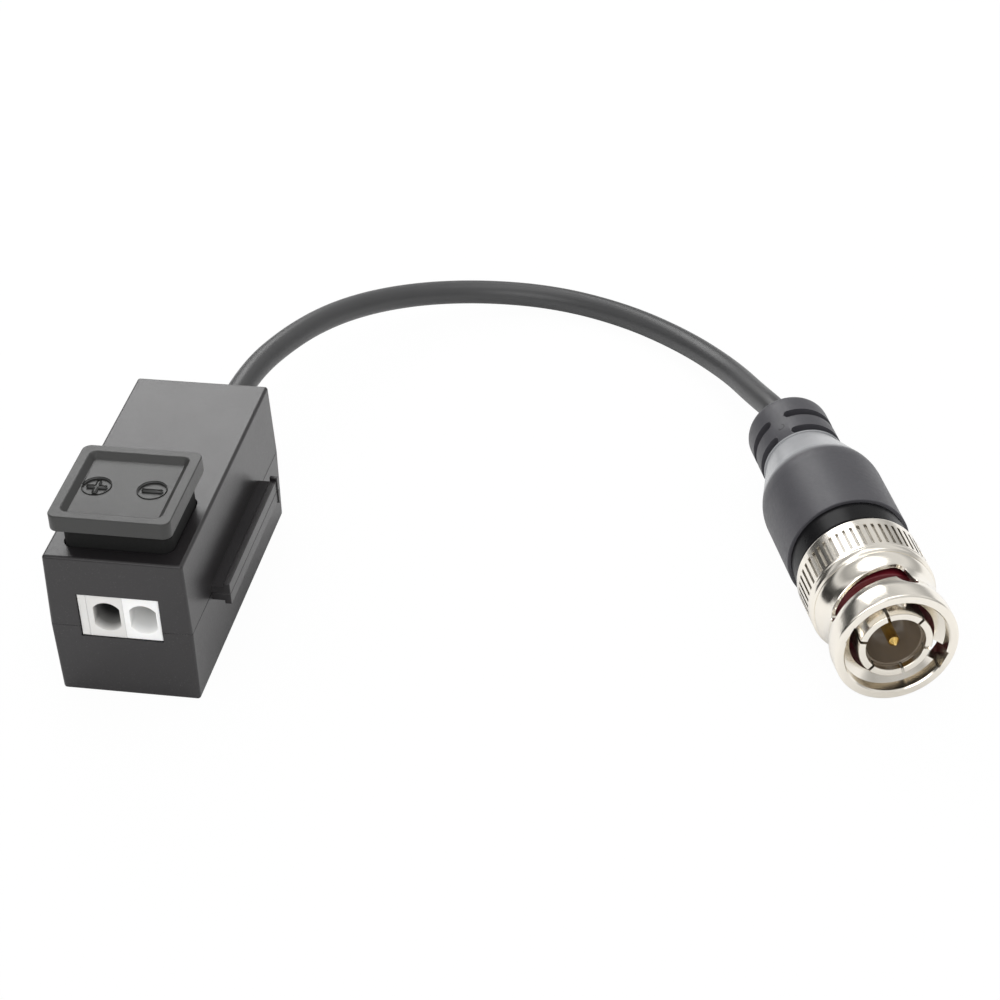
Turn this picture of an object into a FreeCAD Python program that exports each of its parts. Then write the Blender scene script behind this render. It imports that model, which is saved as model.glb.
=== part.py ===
"""Video balun with a short coax pigtail and a bayonet plug, as a parametric document.

Two drafted shells meet at a seam and hold a circuit board with a wound ferrite ring, two push-in
wire terminals and a press button that opens them. A coax cord leaves the back and ends in a
moulded boot, out of which comes a plug with a turning coupling nut.

Frame: millimetres, +Z up, origin under the middle of the housing on the surface it stands on.
+X is to the right of someone who faces the wire terminals, and +Y points to the cord.
"""
import FreeCAD, Part
import math
import operator
import os
from types import SimpleNamespace

import Sketcher
from FreeCAD import Placement, Rotation, Vector

os.makedirs("parts", exist_ok=True)
doc = FreeCAD.newDocument("video_balun")
sheet = doc.addObject("Spreadsheet::Sheet", "sizes")

# Driving dimensions, in millimetres, degrees and plain counts.
DRIVING = {
    # Housing, two shells that meet at the seam
    "case_length": 37.6,
    "case_width": 17.0,
    "case_height": 19.2,
    "seam_height": 9.65,
    "case_draft": 1.1,
    "wall": 1.2,
    "case_edge_radius": 0.4,
    # Interlock that joins units side by side: a T rail on the right, a channel on the left
    "interlock_reach": 2.4,
    "rail_length": 21.4,
    "rail_neck_height": 2.0,
    "rail_head_height": 2.9,
    "rail_head_depth": 0.95,
    "rail_stop_length": 0.5,
    "rail_stop_step": 0.15,
    "rail_stop_height": 3.7,
    "channel_length": 22.0,
    "channel_height": 5.2,
    "channel_wall": 0.9,
    "channel_cavity_height": 3.4,
    "channel_slot_height": 2.5,
    # Screwless joint of the shells: pins in bosses
    "boss_radius": 1.2,
    "boss_pin_radius": 0.6,
    "boss_pin_height": 2.0,
    "boss_spread": 6.3,
    "boss_front": -3.2,
    "boss_back_inset": 2.5,
    "pin_clearance": 0.05,
    # Window in the front wall and the terminal blocks behind it
    "end_plate_width": 0.98,
    "window_height": 5.9,
    "window_sill": 8.2,
    "window_gap": 0.06,
    "terminal_inset": 0.25,
    "terminal_pitch": 4.35,
    "terminal_length": 12.7,
    "wire_hole_diameter": 3.95,
    "wire_hole_width": 3.15,
    "wire_hole_shift": 0.12,
    "wire_hole_lift": -0.05,
    "wire_bore_radius": 1.1,
    "funnel_depth": 3.6,
    "chamber_front": 5.5,
    "chamber_wall": 0.6,
    "chamber_floor": 0.8,
    "chamber_back_wall": 0.85,
    "foot_length": 2.0,
    # Spring clamps and contact bars
    "strip": 0.25,
    "clamp_width": 2.6,
    "clamp_end_gap": 0.9,
    "clamp_bend_radius": 0.5,
    "clamp_angle": 35.0,
    "clamp_arm": 4.6,
    "bar_thickness": 0.4,
    "bar_width": 1.8,
    "bar_lift": 0.12,
    "bar_overlap": 2.2,
    "bar_gap": 0.45,
    "bar_pin_reach": 0.6,
    "side_gap": 0.12,
    "clamp_gap": 0.15,
    # Press button
    "cap_width": 14.45,
    "cap_length": 14.4,
    "cap_thickness": 2.1,
    "cap_corner": 1.05,
    "cap_gap": 3.2,
    "cap_setback": 0.7,
    "well_margin": 1.2,
    "well_corner": 0.15,
    "well_depth": 0.65,
    "well_draft": 45.0,
    "neck_width": 12.9,
    "neck_length": 11.0,
    "neck_corner": 1.3,
    "neck_wall": 1.1,
    "neck_play": 0.12,
    "catch_height": 1.0,
    "catch_reach": 0.45,
    "catch_gap": 0.05,
    "prong_width": 0.9,
    "prong_arm_share": 0.6,
    "prong_thickness": 1.2,
    "prong_lift": 0.25,
    "sign_spacing": 6.6,
    "sign_disc_radius": 1.7,
    "sign_setback": 0.05,
    "sign_shift": 0.22,
    "sign_depth": 0.2,
    "sign_bar_length": 2.3,
    "sign_bar_width": 0.42,
    # Circuit board and what stands on it
    "board_width": 13.8,
    "board_front_inset": 5.2,
    "board_back_inset": 3.9,
    "board_height": 5.6,
    "board_thickness": 1.0,
    "board_clearance": 0.1,
    "board_ledge": 1.7,
    "board_ledge_length": 2.0,
    "core_outer_radius": 4.0,
    "core_inner_radius": 2.0,
    "core_height": 4.2,
    "core_x": 1.7,
    "core_y": 2.2,
    "winding_wire": 0.4,
    "winding_clearance": 0.03,
    "winding_turns": 14,
    "suppressor_length": 4.4,
    "suppressor_width": 3.2,
    "suppressor_height": 2.2,
    "suppressor_x": -4.8,
    "suppressor_y": 1.6,
    "solder_tab": 0.9,
    "capacitor_radius": 2.1,
    "capacitor_thickness": 1.6,
    "capacitor_x": -4.8,
    "capacitor_gap": 2.5,
    "lead_radius": 0.25,
    "lead_spacing": 2.4,
    "lead_rise": 0.7,
    "resistor_length": 3.2,
    "resistor_width": 1.6,
    "resistor_height": 0.6,
    "resistor_x": 3.9,
    "resistor_y": 9.2,
    # Cord, its grommet in the back wall and its clamp on the board
    "cord_radius": 1.6,
    "dielectric_radius": 0.75,
    "conductor_radius": 0.25,
    "drop_radius": 0.35,
    "bore_clearance": 0.02,
    "grommet_reach": 8.0,
    "grommet_tip_radius": 2.25,
    "grommet_root_radius": 2.7,
    "grommet_flange_radius": 3.6,
    "grommet_flange": 0.8,
    "grommet_neck_radius": 2.8,
    "grommet_lock_radius": 3.9,
    "grommet_lock": 1.0,
    "grommet_play": 0.05,
    "clamp_block_width": 4.8,
    "clamp_block_length": 1.6,
    "clamp_block_cover": 0.6,
    "strip_back": 5.6,
    "stripped_core": 2.0,
    "bare_conductor": 1.4,
    # Where the plug lies: the middle of its mouth, and which way it faces
    "plug_x": 87.4,
    "plug_y": -7.7,
    "plug_azimuth": 22.5,
    # Boot over the plug's tail, by distance behind the nut's rim
    "boot_radius": 7.45,
    "boot_front": 15.6,
    "boot_front_radius": 7.05,
    "boot_lip": 18.7,
    "boot_shoulder_start": 28.6,
    "boot_shoulder": 31.0,
    "boot_shoulder_radius": 7.0,
    "boot_shoulder_crown": 0.1,
    "boot_neck_radius": 4.95,
    "boot_collar_radius": 5.15,
    "boot_end": 45.9,
    "boot_end_radius": 1.7,
    "groove_front": 37.2,
    "groove_back": 40.7,
    "groove_width": 1.3,
    "groove_depth": 0.85,
    "groove_rib": 1.8,
    "groove_rib_angle": -28.0,
    # Coupling nut
    "nut_radius": 7.45,
    "nut_length": 15.25,
    "rim_radius": 7.25,
    "rim_length": 2.3,
    "rim_edge": 0.25,
    "mouth_radius": 6.1,
    "mouth_depth": 1.5,
    "mouth_slope": 0.6,
    "waist_radius": 6.62,
    "waist_place": 5.2,
    "shoulder_place": 9.6,
    "nut_bore_radius": 5.0,
    "nut_relief_radius": 6.15,
    "nut_relief_front": 4.9,
    "nut_chamber_radius": 6.2,
    "nut_chamber_front": 10.2,
    "knurl_front": 10.0,
    "knurl_back": 13.8,
    "knurl_depth": 0.28,
    "knurl_width": 0.42,
    "knurl_count": 54,
    "slot_width": 2.2,
    "slot_angle": -62.5,
    "slot_sweep": 78.5,
    "slot_start": 4.2,
    "slot_rise": 1.55,
    "detent_angle": 82.5,
    "detent_place": 3.85,
    "lug_groove_radius": 6.3,
    # Plug body and what it carries
    "flange_radius": 6.15,
    "flange_thickness": 1.2,
    "flange_gap": 0.1,
    "barrel_radius": 4.15,
    "barrel_back": 19.0,
    "lock_front": 16.8,
    "lock_length": 1.2,
    "lock_radius": 5.0,
    "collar_front": 8.9,
    "collar_radius": 4.8,
    "tail_radius": 1.25,
    "tail_length": 6.5,
    "tail_bore_radius": 0.8,
    "contact_outer_radius": 4.35,
    "contact_inner_radius": 3.5,
    "contact_front": 0.5,
    "contact_back": 9.9,
    "contact_slot_width": 0.35,
    "contact_slot_length": 6.0,
    "contact_slots": 6,
    "contact_slot_angle": -13.5,
    "insulator_front": 1.5,
    "insulator_wall": 0.25,
    "insulator_floor": 4.6,
    "insulator_floor_radius": 2.6,
    "insulator_back": 14.4,
    "pin_tip": 0.6,
    "pin_radius": 0.675,
    "pin_cone": 0.7,
    "pin_tip_radius": 0.2,
    "pin_shoulder": 9.0,
    "pin_shoulder_radius": 1.0,
    "pin_back": 14.2,
    "pin_cup_depth": 3.0,
    "pin_cup_radius": 0.5,
    "gasket_front": 6.2,
    "gasket_radius": 5.7,
    "ferrule_wall": 0.45,
    "ferrule_start": 0.2,
    "ferrule_length": 8.0,
    "wave_strip": 0.2,
    "wave_count": 3,
    "wave_washer_height": 0.7,
    "washer_radius": 6.05,
    "washer_bore_radius": 4.35,
    "washer_thickness": 0.5,
    "washer_gap": 0.03,
    "snap_ring_thickness": 0.6,
    "snap_ring_outer": 6.55,
    "snap_ring_inner": 5.3,
    "snap_groove_clearance": 0.05,
}


class Size:
    """A value from the sheet, together with the formula that gives it."""

    def __init__(self, value, formula):
        self.value = float(value)
        self.formula = formula

    def __float__(self):
        return self.value

    def __add__(self, other):
        return combine(self, "+", other)

    def __radd__(self, other):
        return combine(other, "+", self)

    def __sub__(self, other):
        return combine(self, "-", other)

    def __rsub__(self, other):
        return combine(other, "-", self)

    def __mul__(self, other):
        return combine(self, "*", other)

    def __rmul__(self, other):
        return combine(other, "*", self)

    def __truediv__(self, other):
        return combine(self, "/", other)

    def __neg__(self):
        return combine(0, "-", self)


SIGNS = {"+": operator.add, "-": operator.sub, "*": operator.mul, "/": operator.truediv}


def sized(number):
    return number if isinstance(number, Size) else Size(number, repr(float(number)))


def combine(left, sign, right):
    left, right = sized(left), sized(right)
    value = SIGNS[sign](left.value, right.value)
    return Size(value, f"({left.formula} {sign} {right.formula})")


def sine(angle):
    return Size(math.sin(math.radians(angle.value)), f"sin({angle.formula})")


def cosine(angle):
    return Size(math.cos(math.radians(angle.value)), f"cos({angle.formula})")


def fill_sheet():
    """Writes each driving dimension into its own named cell."""
    for row, (alias, number) in enumerate(DRIVING.items(), start=1):
        sheet.set(f"A{row}", alias.replace("_", " "))
        sheet.set(f"B{row}", str(number))
        sheet.setAlias(f"B{row}", alias)
    doc.recompute()
    return SimpleNamespace(**{alias: Size(sheet.get(alias), f"sizes.{alias}") for alias in DRIVING})


d = fill_sheet()
ZERO = sized(0)
OVERSHOOT = sized(1)


# Builders for single features

def bind(thing, formulas):
    """Ties properties of an object to the sheet."""
    for name, size in formulas.items():
        thing.setExpression(name, sized(size).formula)


def place(thing, x, y, z, rotation=None):
    if rotation is not None:
        thing.Placement = Placement(Vector(), rotation)
    bind(thing, {"Placement.Base.x": x, "Placement.Base.y": y, "Placement.Base.z": z})


def block(name, x, y, z):
    """A box between pairs of low and high sizes."""
    thing = doc.addObject("Part::Box", name)
    bind(thing, {"Length": x[1] - x[0], "Width": y[1] - y[0], "Height": z[1] - z[0]})
    place(thing, x[0], y[0], z[0])
    return thing


QUARTER_TURN, FULL_TURN = 90, 360
ALONG_Y = Rotation(Vector(1, 0, 0), -QUARTER_TURN)
ALONG_X = Rotation(Vector(0, 1, 0), QUARTER_TURN)
ALONG_BOARD = Rotation(Vector(0, 0, 1), QUARTER_TURN)


def rod(name, radius, length, x, y, z, rotation=None):
    """A cylinder from its start point, upright unless it is turned."""
    thing = doc.addObject("Part::Cylinder", name)
    bind(thing, {"Radius": radius, "Height": length})
    place(thing, x, y, z, rotation)
    return thing


def fuse(name, *things):
    thing = doc.addObject("Part::MultiFuse", name)
    thing.Shapes = list(things)
    return thing


def cut(name, base, *tools):
    thing = doc.addObject("Part::Cut", name)
    thing.Base = base
    thing.Tool = tools[0] if len(tools) == 1 else fuse(name + "_tools", *tools)
    return thing


def common(name, first, second):
    thing = doc.addObject("Part::Common", name)
    thing.Base, thing.Tool = first, second
    return thing


def origin_plane(body, role):
    return next(feature for feature in body.Origin.OriginFeatures if feature.Role == role)


def outline(body, name, role, corners, offset=ZERO):
    """A closed sketch through the corners, each tied to the sheet.

    A corner is (x, y), or (x, y, sagitta) where an arc leads to it from the corner before: the arc
    bulges to the left of its path by a positive sagitta and to the right by a negative one.
    """
    sketch = body.newObject("Sketcher::SketchObject", name)
    sketch.AttachmentSupport = [(origin_plane(body, role), "")]
    sketch.MapMode = "FlatFace"
    sketch.AttachmentOffset = Placement(Vector(0, 0, offset.value), Rotation())
    bind(sketch, {"AttachmentOffset.Base.z": offset})
    corners = [(sized(corner[0]), sized(corner[1])) + tuple(corner[2:]) for corner in corners]
    points = [Vector(corner[0].value, corner[1].value, 0) for corner in corners]
    ends = []
    for index, corner in enumerate(corners):
        start, end = points[index - 1], points[index]
        if len(corner) == 3:
            chord = end - start
            left = Vector(-chord.y, chord.x, 0).normalize()
            crown = (start + end) * 0.5 + left * corner[2].value
            geometry = sketch.addGeometry(Part.Arc(start, crown, end))
            turns_left = (crown - start).cross(end - crown).z > 0
            ends.append((geometry, 1, 2) if turns_left else (geometry, 2, 1))
        else:
            ends.append((sketch.addGeometry(Part.LineSegment(start, end)), 1, 2))
    for index, corner in enumerate(corners):
        geometry, start, end = ends[index]
        following = ends[(index + 1) % len(ends)]
        sketch.addConstraint(Sketcher.Constraint("Coincident", geometry, end, following[0], following[1]))
        for kind, size, title in (("DistanceX", corner[0], "x"), ("DistanceY", corner[1], "y")):
            number = sketch.addConstraint(Sketcher.Constraint(kind, -1, 1, geometry, end, size.value))
            sketch.renameConstraint(number, f"{title}{index}")
            sketch.setExpression(f"Constraints.{title}{index}", size.formula)
        if len(corner) == 3:
            before = corners[index - 1]
            across, along = corner[0] - before[0], corner[1] - before[1]
            sagitta = corner[2] if corner[2].value > 0 else -corner[2]
            radius = (across * across + along * along) / (sagitta * 8) + sagitta / 2
            number = sketch.addConstraint(Sketcher.Constraint("Radius", geometry, radius.value))
            sketch.renameConstraint(number, f"radius{index}")
            sketch.setExpression(f"Constraints.radius{index}", radius.formula)
    return sketch


CORNER_SAGITTA = 1 - math.cos(math.radians(45))


def rectangle(half_x, half_y, x=ZERO, y=ZERO):
    west, east, south, north = x - half_x, x + half_x, y - half_y, y + half_y
    return [(west, south), (east, south), (east, north), (west, north)]


def rounded_rectangle(half_x, half_y, radius, x=ZERO, y=ZERO):
    """Corners of a rectangle with round corners, counter-clockwise from the lower left."""
    bulge = -radius * CORNER_SAGITTA
    left, right, low, high = x - half_x, x + half_x, y - half_y, y + half_y
    return [
        (left + radius, low, bulge), (right - radius, low),
        (right, low + radius, bulge), (right, high - radius),
        (right - radius, high, bulge), (left + radius, high),
        (left, high - radius, bulge), (left, low + radius),
    ]


def pad(body, name, sketch, length, draft=None, reversed_way=False):
    feature = body.newObject("PartDesign::Pad", name)
    feature.Profile = sketch
    feature.Reversed = reversed_way
    bind(feature, {"Length": length})
    if draft is not None:
        bind(feature, {"TaperAngle": draft})
    return feature


def new_body(name):
    return doc.addObject("PartDesign::Body", name)


def prism(name, corners, height, bottom, draft=None):
    """An upright pad of an outline that starts at a height."""
    body = new_body(name)
    pad(body, name + "_pad", outline(body, name + "_outline", "XY_Plane", corners, bottom), height, draft)
    return body


def turned(name, corners):
    """A solid of revolution about its own Z: each corner is (radius, distance along Z)."""
    body = new_body(name)
    sketch = outline(body, name + "_outline", "XZ_Plane", corners)
    feature = body.newObject("PartDesign::Revolution", name + "_turn")
    feature.Profile = sketch
    feature.ReferenceAxis = (sketch, ["V_Axis"])
    feature.Angle = FULL_TURN
    return body


def tube(inner, outer, start, end):
    """The outline of a plain ring for turned()."""
    return [(inner, start), (outer, start), (outer, end), (inner, end)]


def lay_in_plug(thing):
    """Places a piece drawn upright about Z, rim at zero, along the axis of the plug."""
    azimuth = math.radians(d.plug_azimuth.value)
    backwards = Vector(-math.sin(azimuth), math.cos(azimuth), 0)
    side = Vector(math.cos(azimuth), math.sin(azimuth), 0)
    place(thing, d.plug_x, d.plug_y, d.boot_radius, Rotation(Vector(0, 0, 1), side, backwards, "ZXY"))
    return thing


def lay_in_back_wall(thing):
    """Places a piece drawn upright about Z, outer face of the back wall at zero, along +Y."""
    place(thing, ZERO, d.case_length / 2, d.seam_height, ALONG_Y)
    return thing


# Housing

half_width = d.case_width / 2
half_length = d.case_length / 2
seam = d.seam_height
reach = half_width + d.interlock_reach
ceiling = d.case_height - d.wall
board_front = d.board_front_inset - half_length
board_back = half_length - d.board_back_inset
NAMES = {1: "top", -1: "bottom"}


def from_seam(side, distance):
    """Heights from the seam outwards: up into the top shell, or down into the bottom one."""
    return (seam, seam + distance) if side > 0 else (seam - distance, seam)


def is_outer_edge(edge, end_height):
    """True for the upright corners and the rim of the far end of a shell."""
    low, high = edge.BoundBox.ZMin, edge.BoundBox.ZMax
    if abs(low - end_height) < 0.01 and abs(high - end_height) < 0.01:
        return True
    middle = edge.BoundBox.Center
    inside = d.wall.value / 2
    at_corner = abs(middle.x) > half_width.value - inside and abs(middle.y) > half_length.value - inside
    return at_corner and high - low > inside


def shell(side):
    """A drafted tray, open at the seam, with softened outer edges."""
    name = NAMES[side] + "_shell"
    height = d.case_height - seam if side > 0 else seam
    end_height = d.case_height.value if side > 0 else 0.0
    body = new_body(name)
    walls = outline(body, name + "_outline", "XY_Plane", rectangle(half_width, half_length), seam)
    block_out = pad(body, name + "_pad", walls, height, -d.case_draft, side < 0)
    doc.recompute()
    open_face = next(
        f"Face{number}" for number, face in enumerate(block_out.Shape.Faces, start=1)
        if abs(face.CenterOfMass.z - seam.value) < 0.01
    )
    hollow = body.newObject("PartDesign::Thickness", name + "_walls")
    hollow.Base = (block_out, [open_face])
    hollow.Reversed = True
    hollow.Join = "Intersection"
    bind(hollow, {"Value": d.wall})
    doc.recompute()
    edges = [
        f"Edge{number}" for number, edge in enumerate(hollow.Shape.Edges, start=1)
        if is_outer_edge(edge, end_height)
    ]
    softened = body.newObject("PartDesign::Fillet", name + "_edges")
    softened.Base = (hollow, edges)
    bind(softened, {"Radius": d.case_edge_radius})
    return body


def rail_half(side):
    """Half of the T rail on the right flank, with the stop at its far end."""
    name = NAMES[side] + "_rail"
    length = (-d.rail_length / 2, d.rail_length / 2)
    head_inner, head_outer = reach - d.rail_head_depth, reach - d.rail_stop_step
    return fuse(
        name,
        block(name + "_neck", (half_width - d.wall / 2, head_outer), length,
              from_seam(side, d.rail_neck_height / 2)),
        block(name + "_head", (head_inner, head_outer), length, from_seam(side, d.rail_head_height / 2)),
        block(name + "_stop", (head_inner, reach), (d.rail_length / 2 - d.rail_stop_length, d.rail_length / 2),
              from_seam(side, d.rail_stop_height / 2)),
    )


def channel_half(side):
    """Half of the channel on the left flank that takes the rail of the next unit."""
    name = NAMES[side] + "_channel"
    length = (-d.channel_length / 2, d.channel_length / 2)
    through = (length[0] - OVERSHOOT, length[1] + OVERSHOOT)
    return cut(
        name,
        block(name + "_block", (-reach, d.wall / 2 - half_width), length,
              from_seam(side, d.channel_height / 2)),
        block(name + "_cavity", (d.channel_wall - reach, -half_width), through,
              from_seam(side, d.channel_cavity_height / 2)),
        block(name + "_slot", (-reach - OVERSHOOT, d.channel_wall - reach), through,
              from_seam(side, d.channel_slot_height / 2)),
    )


def boss_places():
    rows = (d.boss_front, half_length - d.boss_back_inset)
    return [(x, y) for y in rows for x in (-d.boss_spread, d.boss_spread)]


def cord_hole(name):
    return rod(name, d.grommet_neck_radius + d.grommet_play, d.wall * 2 + OVERSHOOT * 2,
               ZERO, half_length - d.wall * 2, seam, ALONG_Y)


window_width = d.end_plate_width + (d.terminal_pitch + d.window_gap) * 2
window_side = (-window_width / 2, window_width / 2)
window_depth = (-half_length - OVERSHOOT, d.wall + OVERSHOOT / 2 - half_length)
window_top = d.window_sill + d.window_height
terminal_bottom = d.window_sill + d.window_gap
terminal_top = window_top - d.window_gap


def housing_bottom():
    pieces = [shell(-1), rail_half(-1), channel_half(-1)]
    for number, (x, y) in enumerate(boss_places()):
        pieces.append(rod(f"pin_boss_{number}", d.boss_radius, seam - d.wall / 2, x, y, d.wall / 2))
        pieces.append(rod(f"boss_pin_{number}", d.boss_pin_radius, d.boss_pin_height * 2, x, y,
                          seam - d.boss_pin_height))
    ledge_inner = half_width - d.wall - d.board_ledge
    for number, y in enumerate((board_front + d.board_ledge_length, board_back - d.board_ledge_length * 2)):
        for title, side in (
            ("left", (d.wall / 2 - half_width, -ledge_inner)),
            ("right", (ledge_inner, half_width - d.wall / 2)),
        ):
            pieces.append(block(f"board_ledge_{title}_{number}", side, (y, y + d.board_ledge_length),
                                (d.wall / 2, d.board_height)))
    pieces.append(block("terminal_shelf", window_side,
                        (d.wall / 2 - half_length, board_front - d.board_clearance),
                        (d.wall / 2, terminal_bottom)))
    return cut(
        "housing_bottom", fuse("bottom_solid", *pieces), cord_hole("bottom_cord_hole"),
        block("bottom_window", window_side, window_depth, (d.window_sill, seam + OVERSHOOT)),
    )


button_y = d.cap_setback + d.cap_length / 2 - half_length
cap_bottom = d.case_height + d.cap_gap
cap_top = cap_bottom + d.cap_thickness


def housing_top():
    pieces = [shell(1), rail_half(1), channel_half(1)]
    holes = [
        cord_hole("top_cord_hole"),
        block("top_window", window_side, window_depth, (seam - OVERSHOOT, window_top)),
        prism("button_opening",
              rounded_rectangle(d.neck_width / 2 + d.neck_play, d.neck_length / 2 + d.neck_play,
                                d.neck_corner + d.neck_play, ZERO, button_y),
              d.wall + OVERSHOOT * 2, ceiling - OVERSHOOT),
    ]
    for number, (x, y) in enumerate(boss_places()):
        pieces.append(rod(f"hole_boss_{number}", d.boss_radius, ceiling + d.wall / 2 - seam, x, y, seam))
        holes.append(rod(f"boss_hole_{number}", d.boss_pin_radius + d.pin_clearance,
                         d.boss_pin_height + d.pin_clearance + OVERSHOOT, x, y, seam - OVERSHOOT))
    return cut("housing_top", fuse("top_solid", *pieces), *holes)


# Wire terminals

terminal_front = d.terminal_inset - half_length
terminal_back = terminal_front + d.terminal_length
chamber_side_front = terminal_front + d.chamber_front
board_top = d.board_height + d.board_thickness
plate_left = d.window_gap - window_width / 2
plate_right = plate_left + d.end_plate_width
POLES = {"positive": plate_right, "negative": plate_right + d.terminal_pitch}
wire_height = (terminal_bottom + terminal_top) / 2 + d.wire_hole_lift

bend_y = chamber_side_front + d.clamp_gap + d.clamp_bend_radius
clamp_floor = terminal_bottom + d.chamber_floor
bend_z = clamp_floor + d.clamp_bend_radius
base_end_y = terminal_back - d.chamber_back_wall - d.clamp_end_gap
rise, run = sine(d.clamp_angle), cosine(d.clamp_angle)
arm_root_y = bend_y - d.clamp_bend_radius * rise
arm_root_z = bend_z + d.clamp_bend_radius * run
arm_end_y = arm_root_y + d.clamp_arm * run
arm_end_z = arm_root_z + d.clamp_arm * rise
bar_bottom = arm_end_z + d.bar_lift
bar_back = terminal_back + d.bar_gap + d.bar_thickness


def bar_side(left):
    inner = left + d.chamber_wall + d.side_gap
    return inner, inner + d.bar_width


def widened(pair, amount):
    return pair[0] - amount, pair[1] + amount


def terminal_foot(name, side):
    return block(name, side, (terminal_back - d.foot_length, terminal_back), (board_top, terminal_bottom))


def terminal_end_plate():
    side = (plate_left, plate_right)
    plate = block("end_plate", side, (terminal_front, terminal_back), (terminal_bottom, terminal_top))
    return fuse("terminal_end_plate", plate, terminal_foot("end_plate_foot", side))


def terminal(pole, left):
    """A terminal block: a funnel for the wire, and a chamber open at the top for the clamp."""
    name = "terminal_" + pole
    side = (left, left + d.terminal_pitch)
    body = fuse(
        name + "_body",
        block(name + "_block", side, (terminal_front, terminal_back), (terminal_bottom, terminal_top)),
        terminal_foot(name + "_foot", side),
    )
    hole_x = left + d.terminal_pitch / 2 + d.wire_hole_shift
    cone = doc.addObject("Part::Cone", name + "_cone")
    bind(cone, {"Radius1": d.wire_hole_diameter / 2, "Radius2": d.wire_bore_radius, "Height": d.funnel_depth})
    place(cone, hole_x, terminal_front, wire_height, ALONG_Y)
    flats = block(name + "_flats", (hole_x - d.wire_hole_width / 2, hole_x + d.wire_hole_width / 2),
                  (terminal_front - OVERSHOOT, terminal_back), (terminal_bottom, terminal_top))
    chamber = block(name + "_chamber", widened(side, -d.chamber_wall),
                    (chamber_side_front, terminal_back - d.chamber_back_wall),
                    (clamp_floor, terminal_top + OVERSHOOT))
    notch = block(name + "_notch", widened(bar_side(left), d.side_gap),
                  (terminal_back - d.chamber_back_wall - OVERSHOOT, terminal_back + OVERSHOOT),
                  (bar_bottom - d.side_gap, terminal_top + OVERSHOOT))
    bore = rod(name + "_bore", d.wire_bore_radius, d.chamber_front, hole_x, terminal_front + d.funnel_depth / 2,
               wire_height, ALONG_Y)
    return cut(name, body, common(name + "_funnel", cone, flats), bore, chamber, notch)


def clamp_spring(pole, left):
    """A strip folded into a base and a sloping arm that pinches the wire against the bar."""
    name = "clamp_spring_" + pole
    inner_bend = d.clamp_bend_radius - d.strip
    half_turn = 1 - sine(d.clamp_angle / 2)
    body = new_body(name)
    start = left + (d.terminal_pitch - d.clamp_width) / 2
    profile = outline(body, name + "_strip", "YZ_Plane", [
        (base_end_y, clamp_floor),
        (bend_y, clamp_floor),
        (arm_root_y, arm_root_z, d.clamp_bend_radius * half_turn),
        (arm_end_y, arm_end_z),
        (arm_end_y + d.strip * rise, arm_end_z - d.strip * run),
        (bend_y - inner_bend * rise, bend_z + inner_bend * run),
        (bend_y, clamp_floor + d.strip, -(inner_bend * half_turn)),
        (base_end_y, clamp_floor + d.strip),
    ], start)
    pad(body, name + "_pad", profile, d.clamp_width)
    return body


def contact_bar(pole, left):
    """A tinned bar over the clamp, with a leg that goes through the board."""
    name = "contact_bar_" + pole
    side = bar_side(left)
    tongue = block(name + "_tongue", side, (arm_end_y - d.bar_overlap, bar_back),
                   (bar_bottom, bar_bottom + d.bar_thickness))
    leg = block(name + "_leg", side, (bar_back - d.bar_thickness, bar_back),
                (d.board_height - d.bar_pin_reach, bar_bottom + d.bar_thickness))
    return fuse(name, tongue, leg)


# Press button

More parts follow.
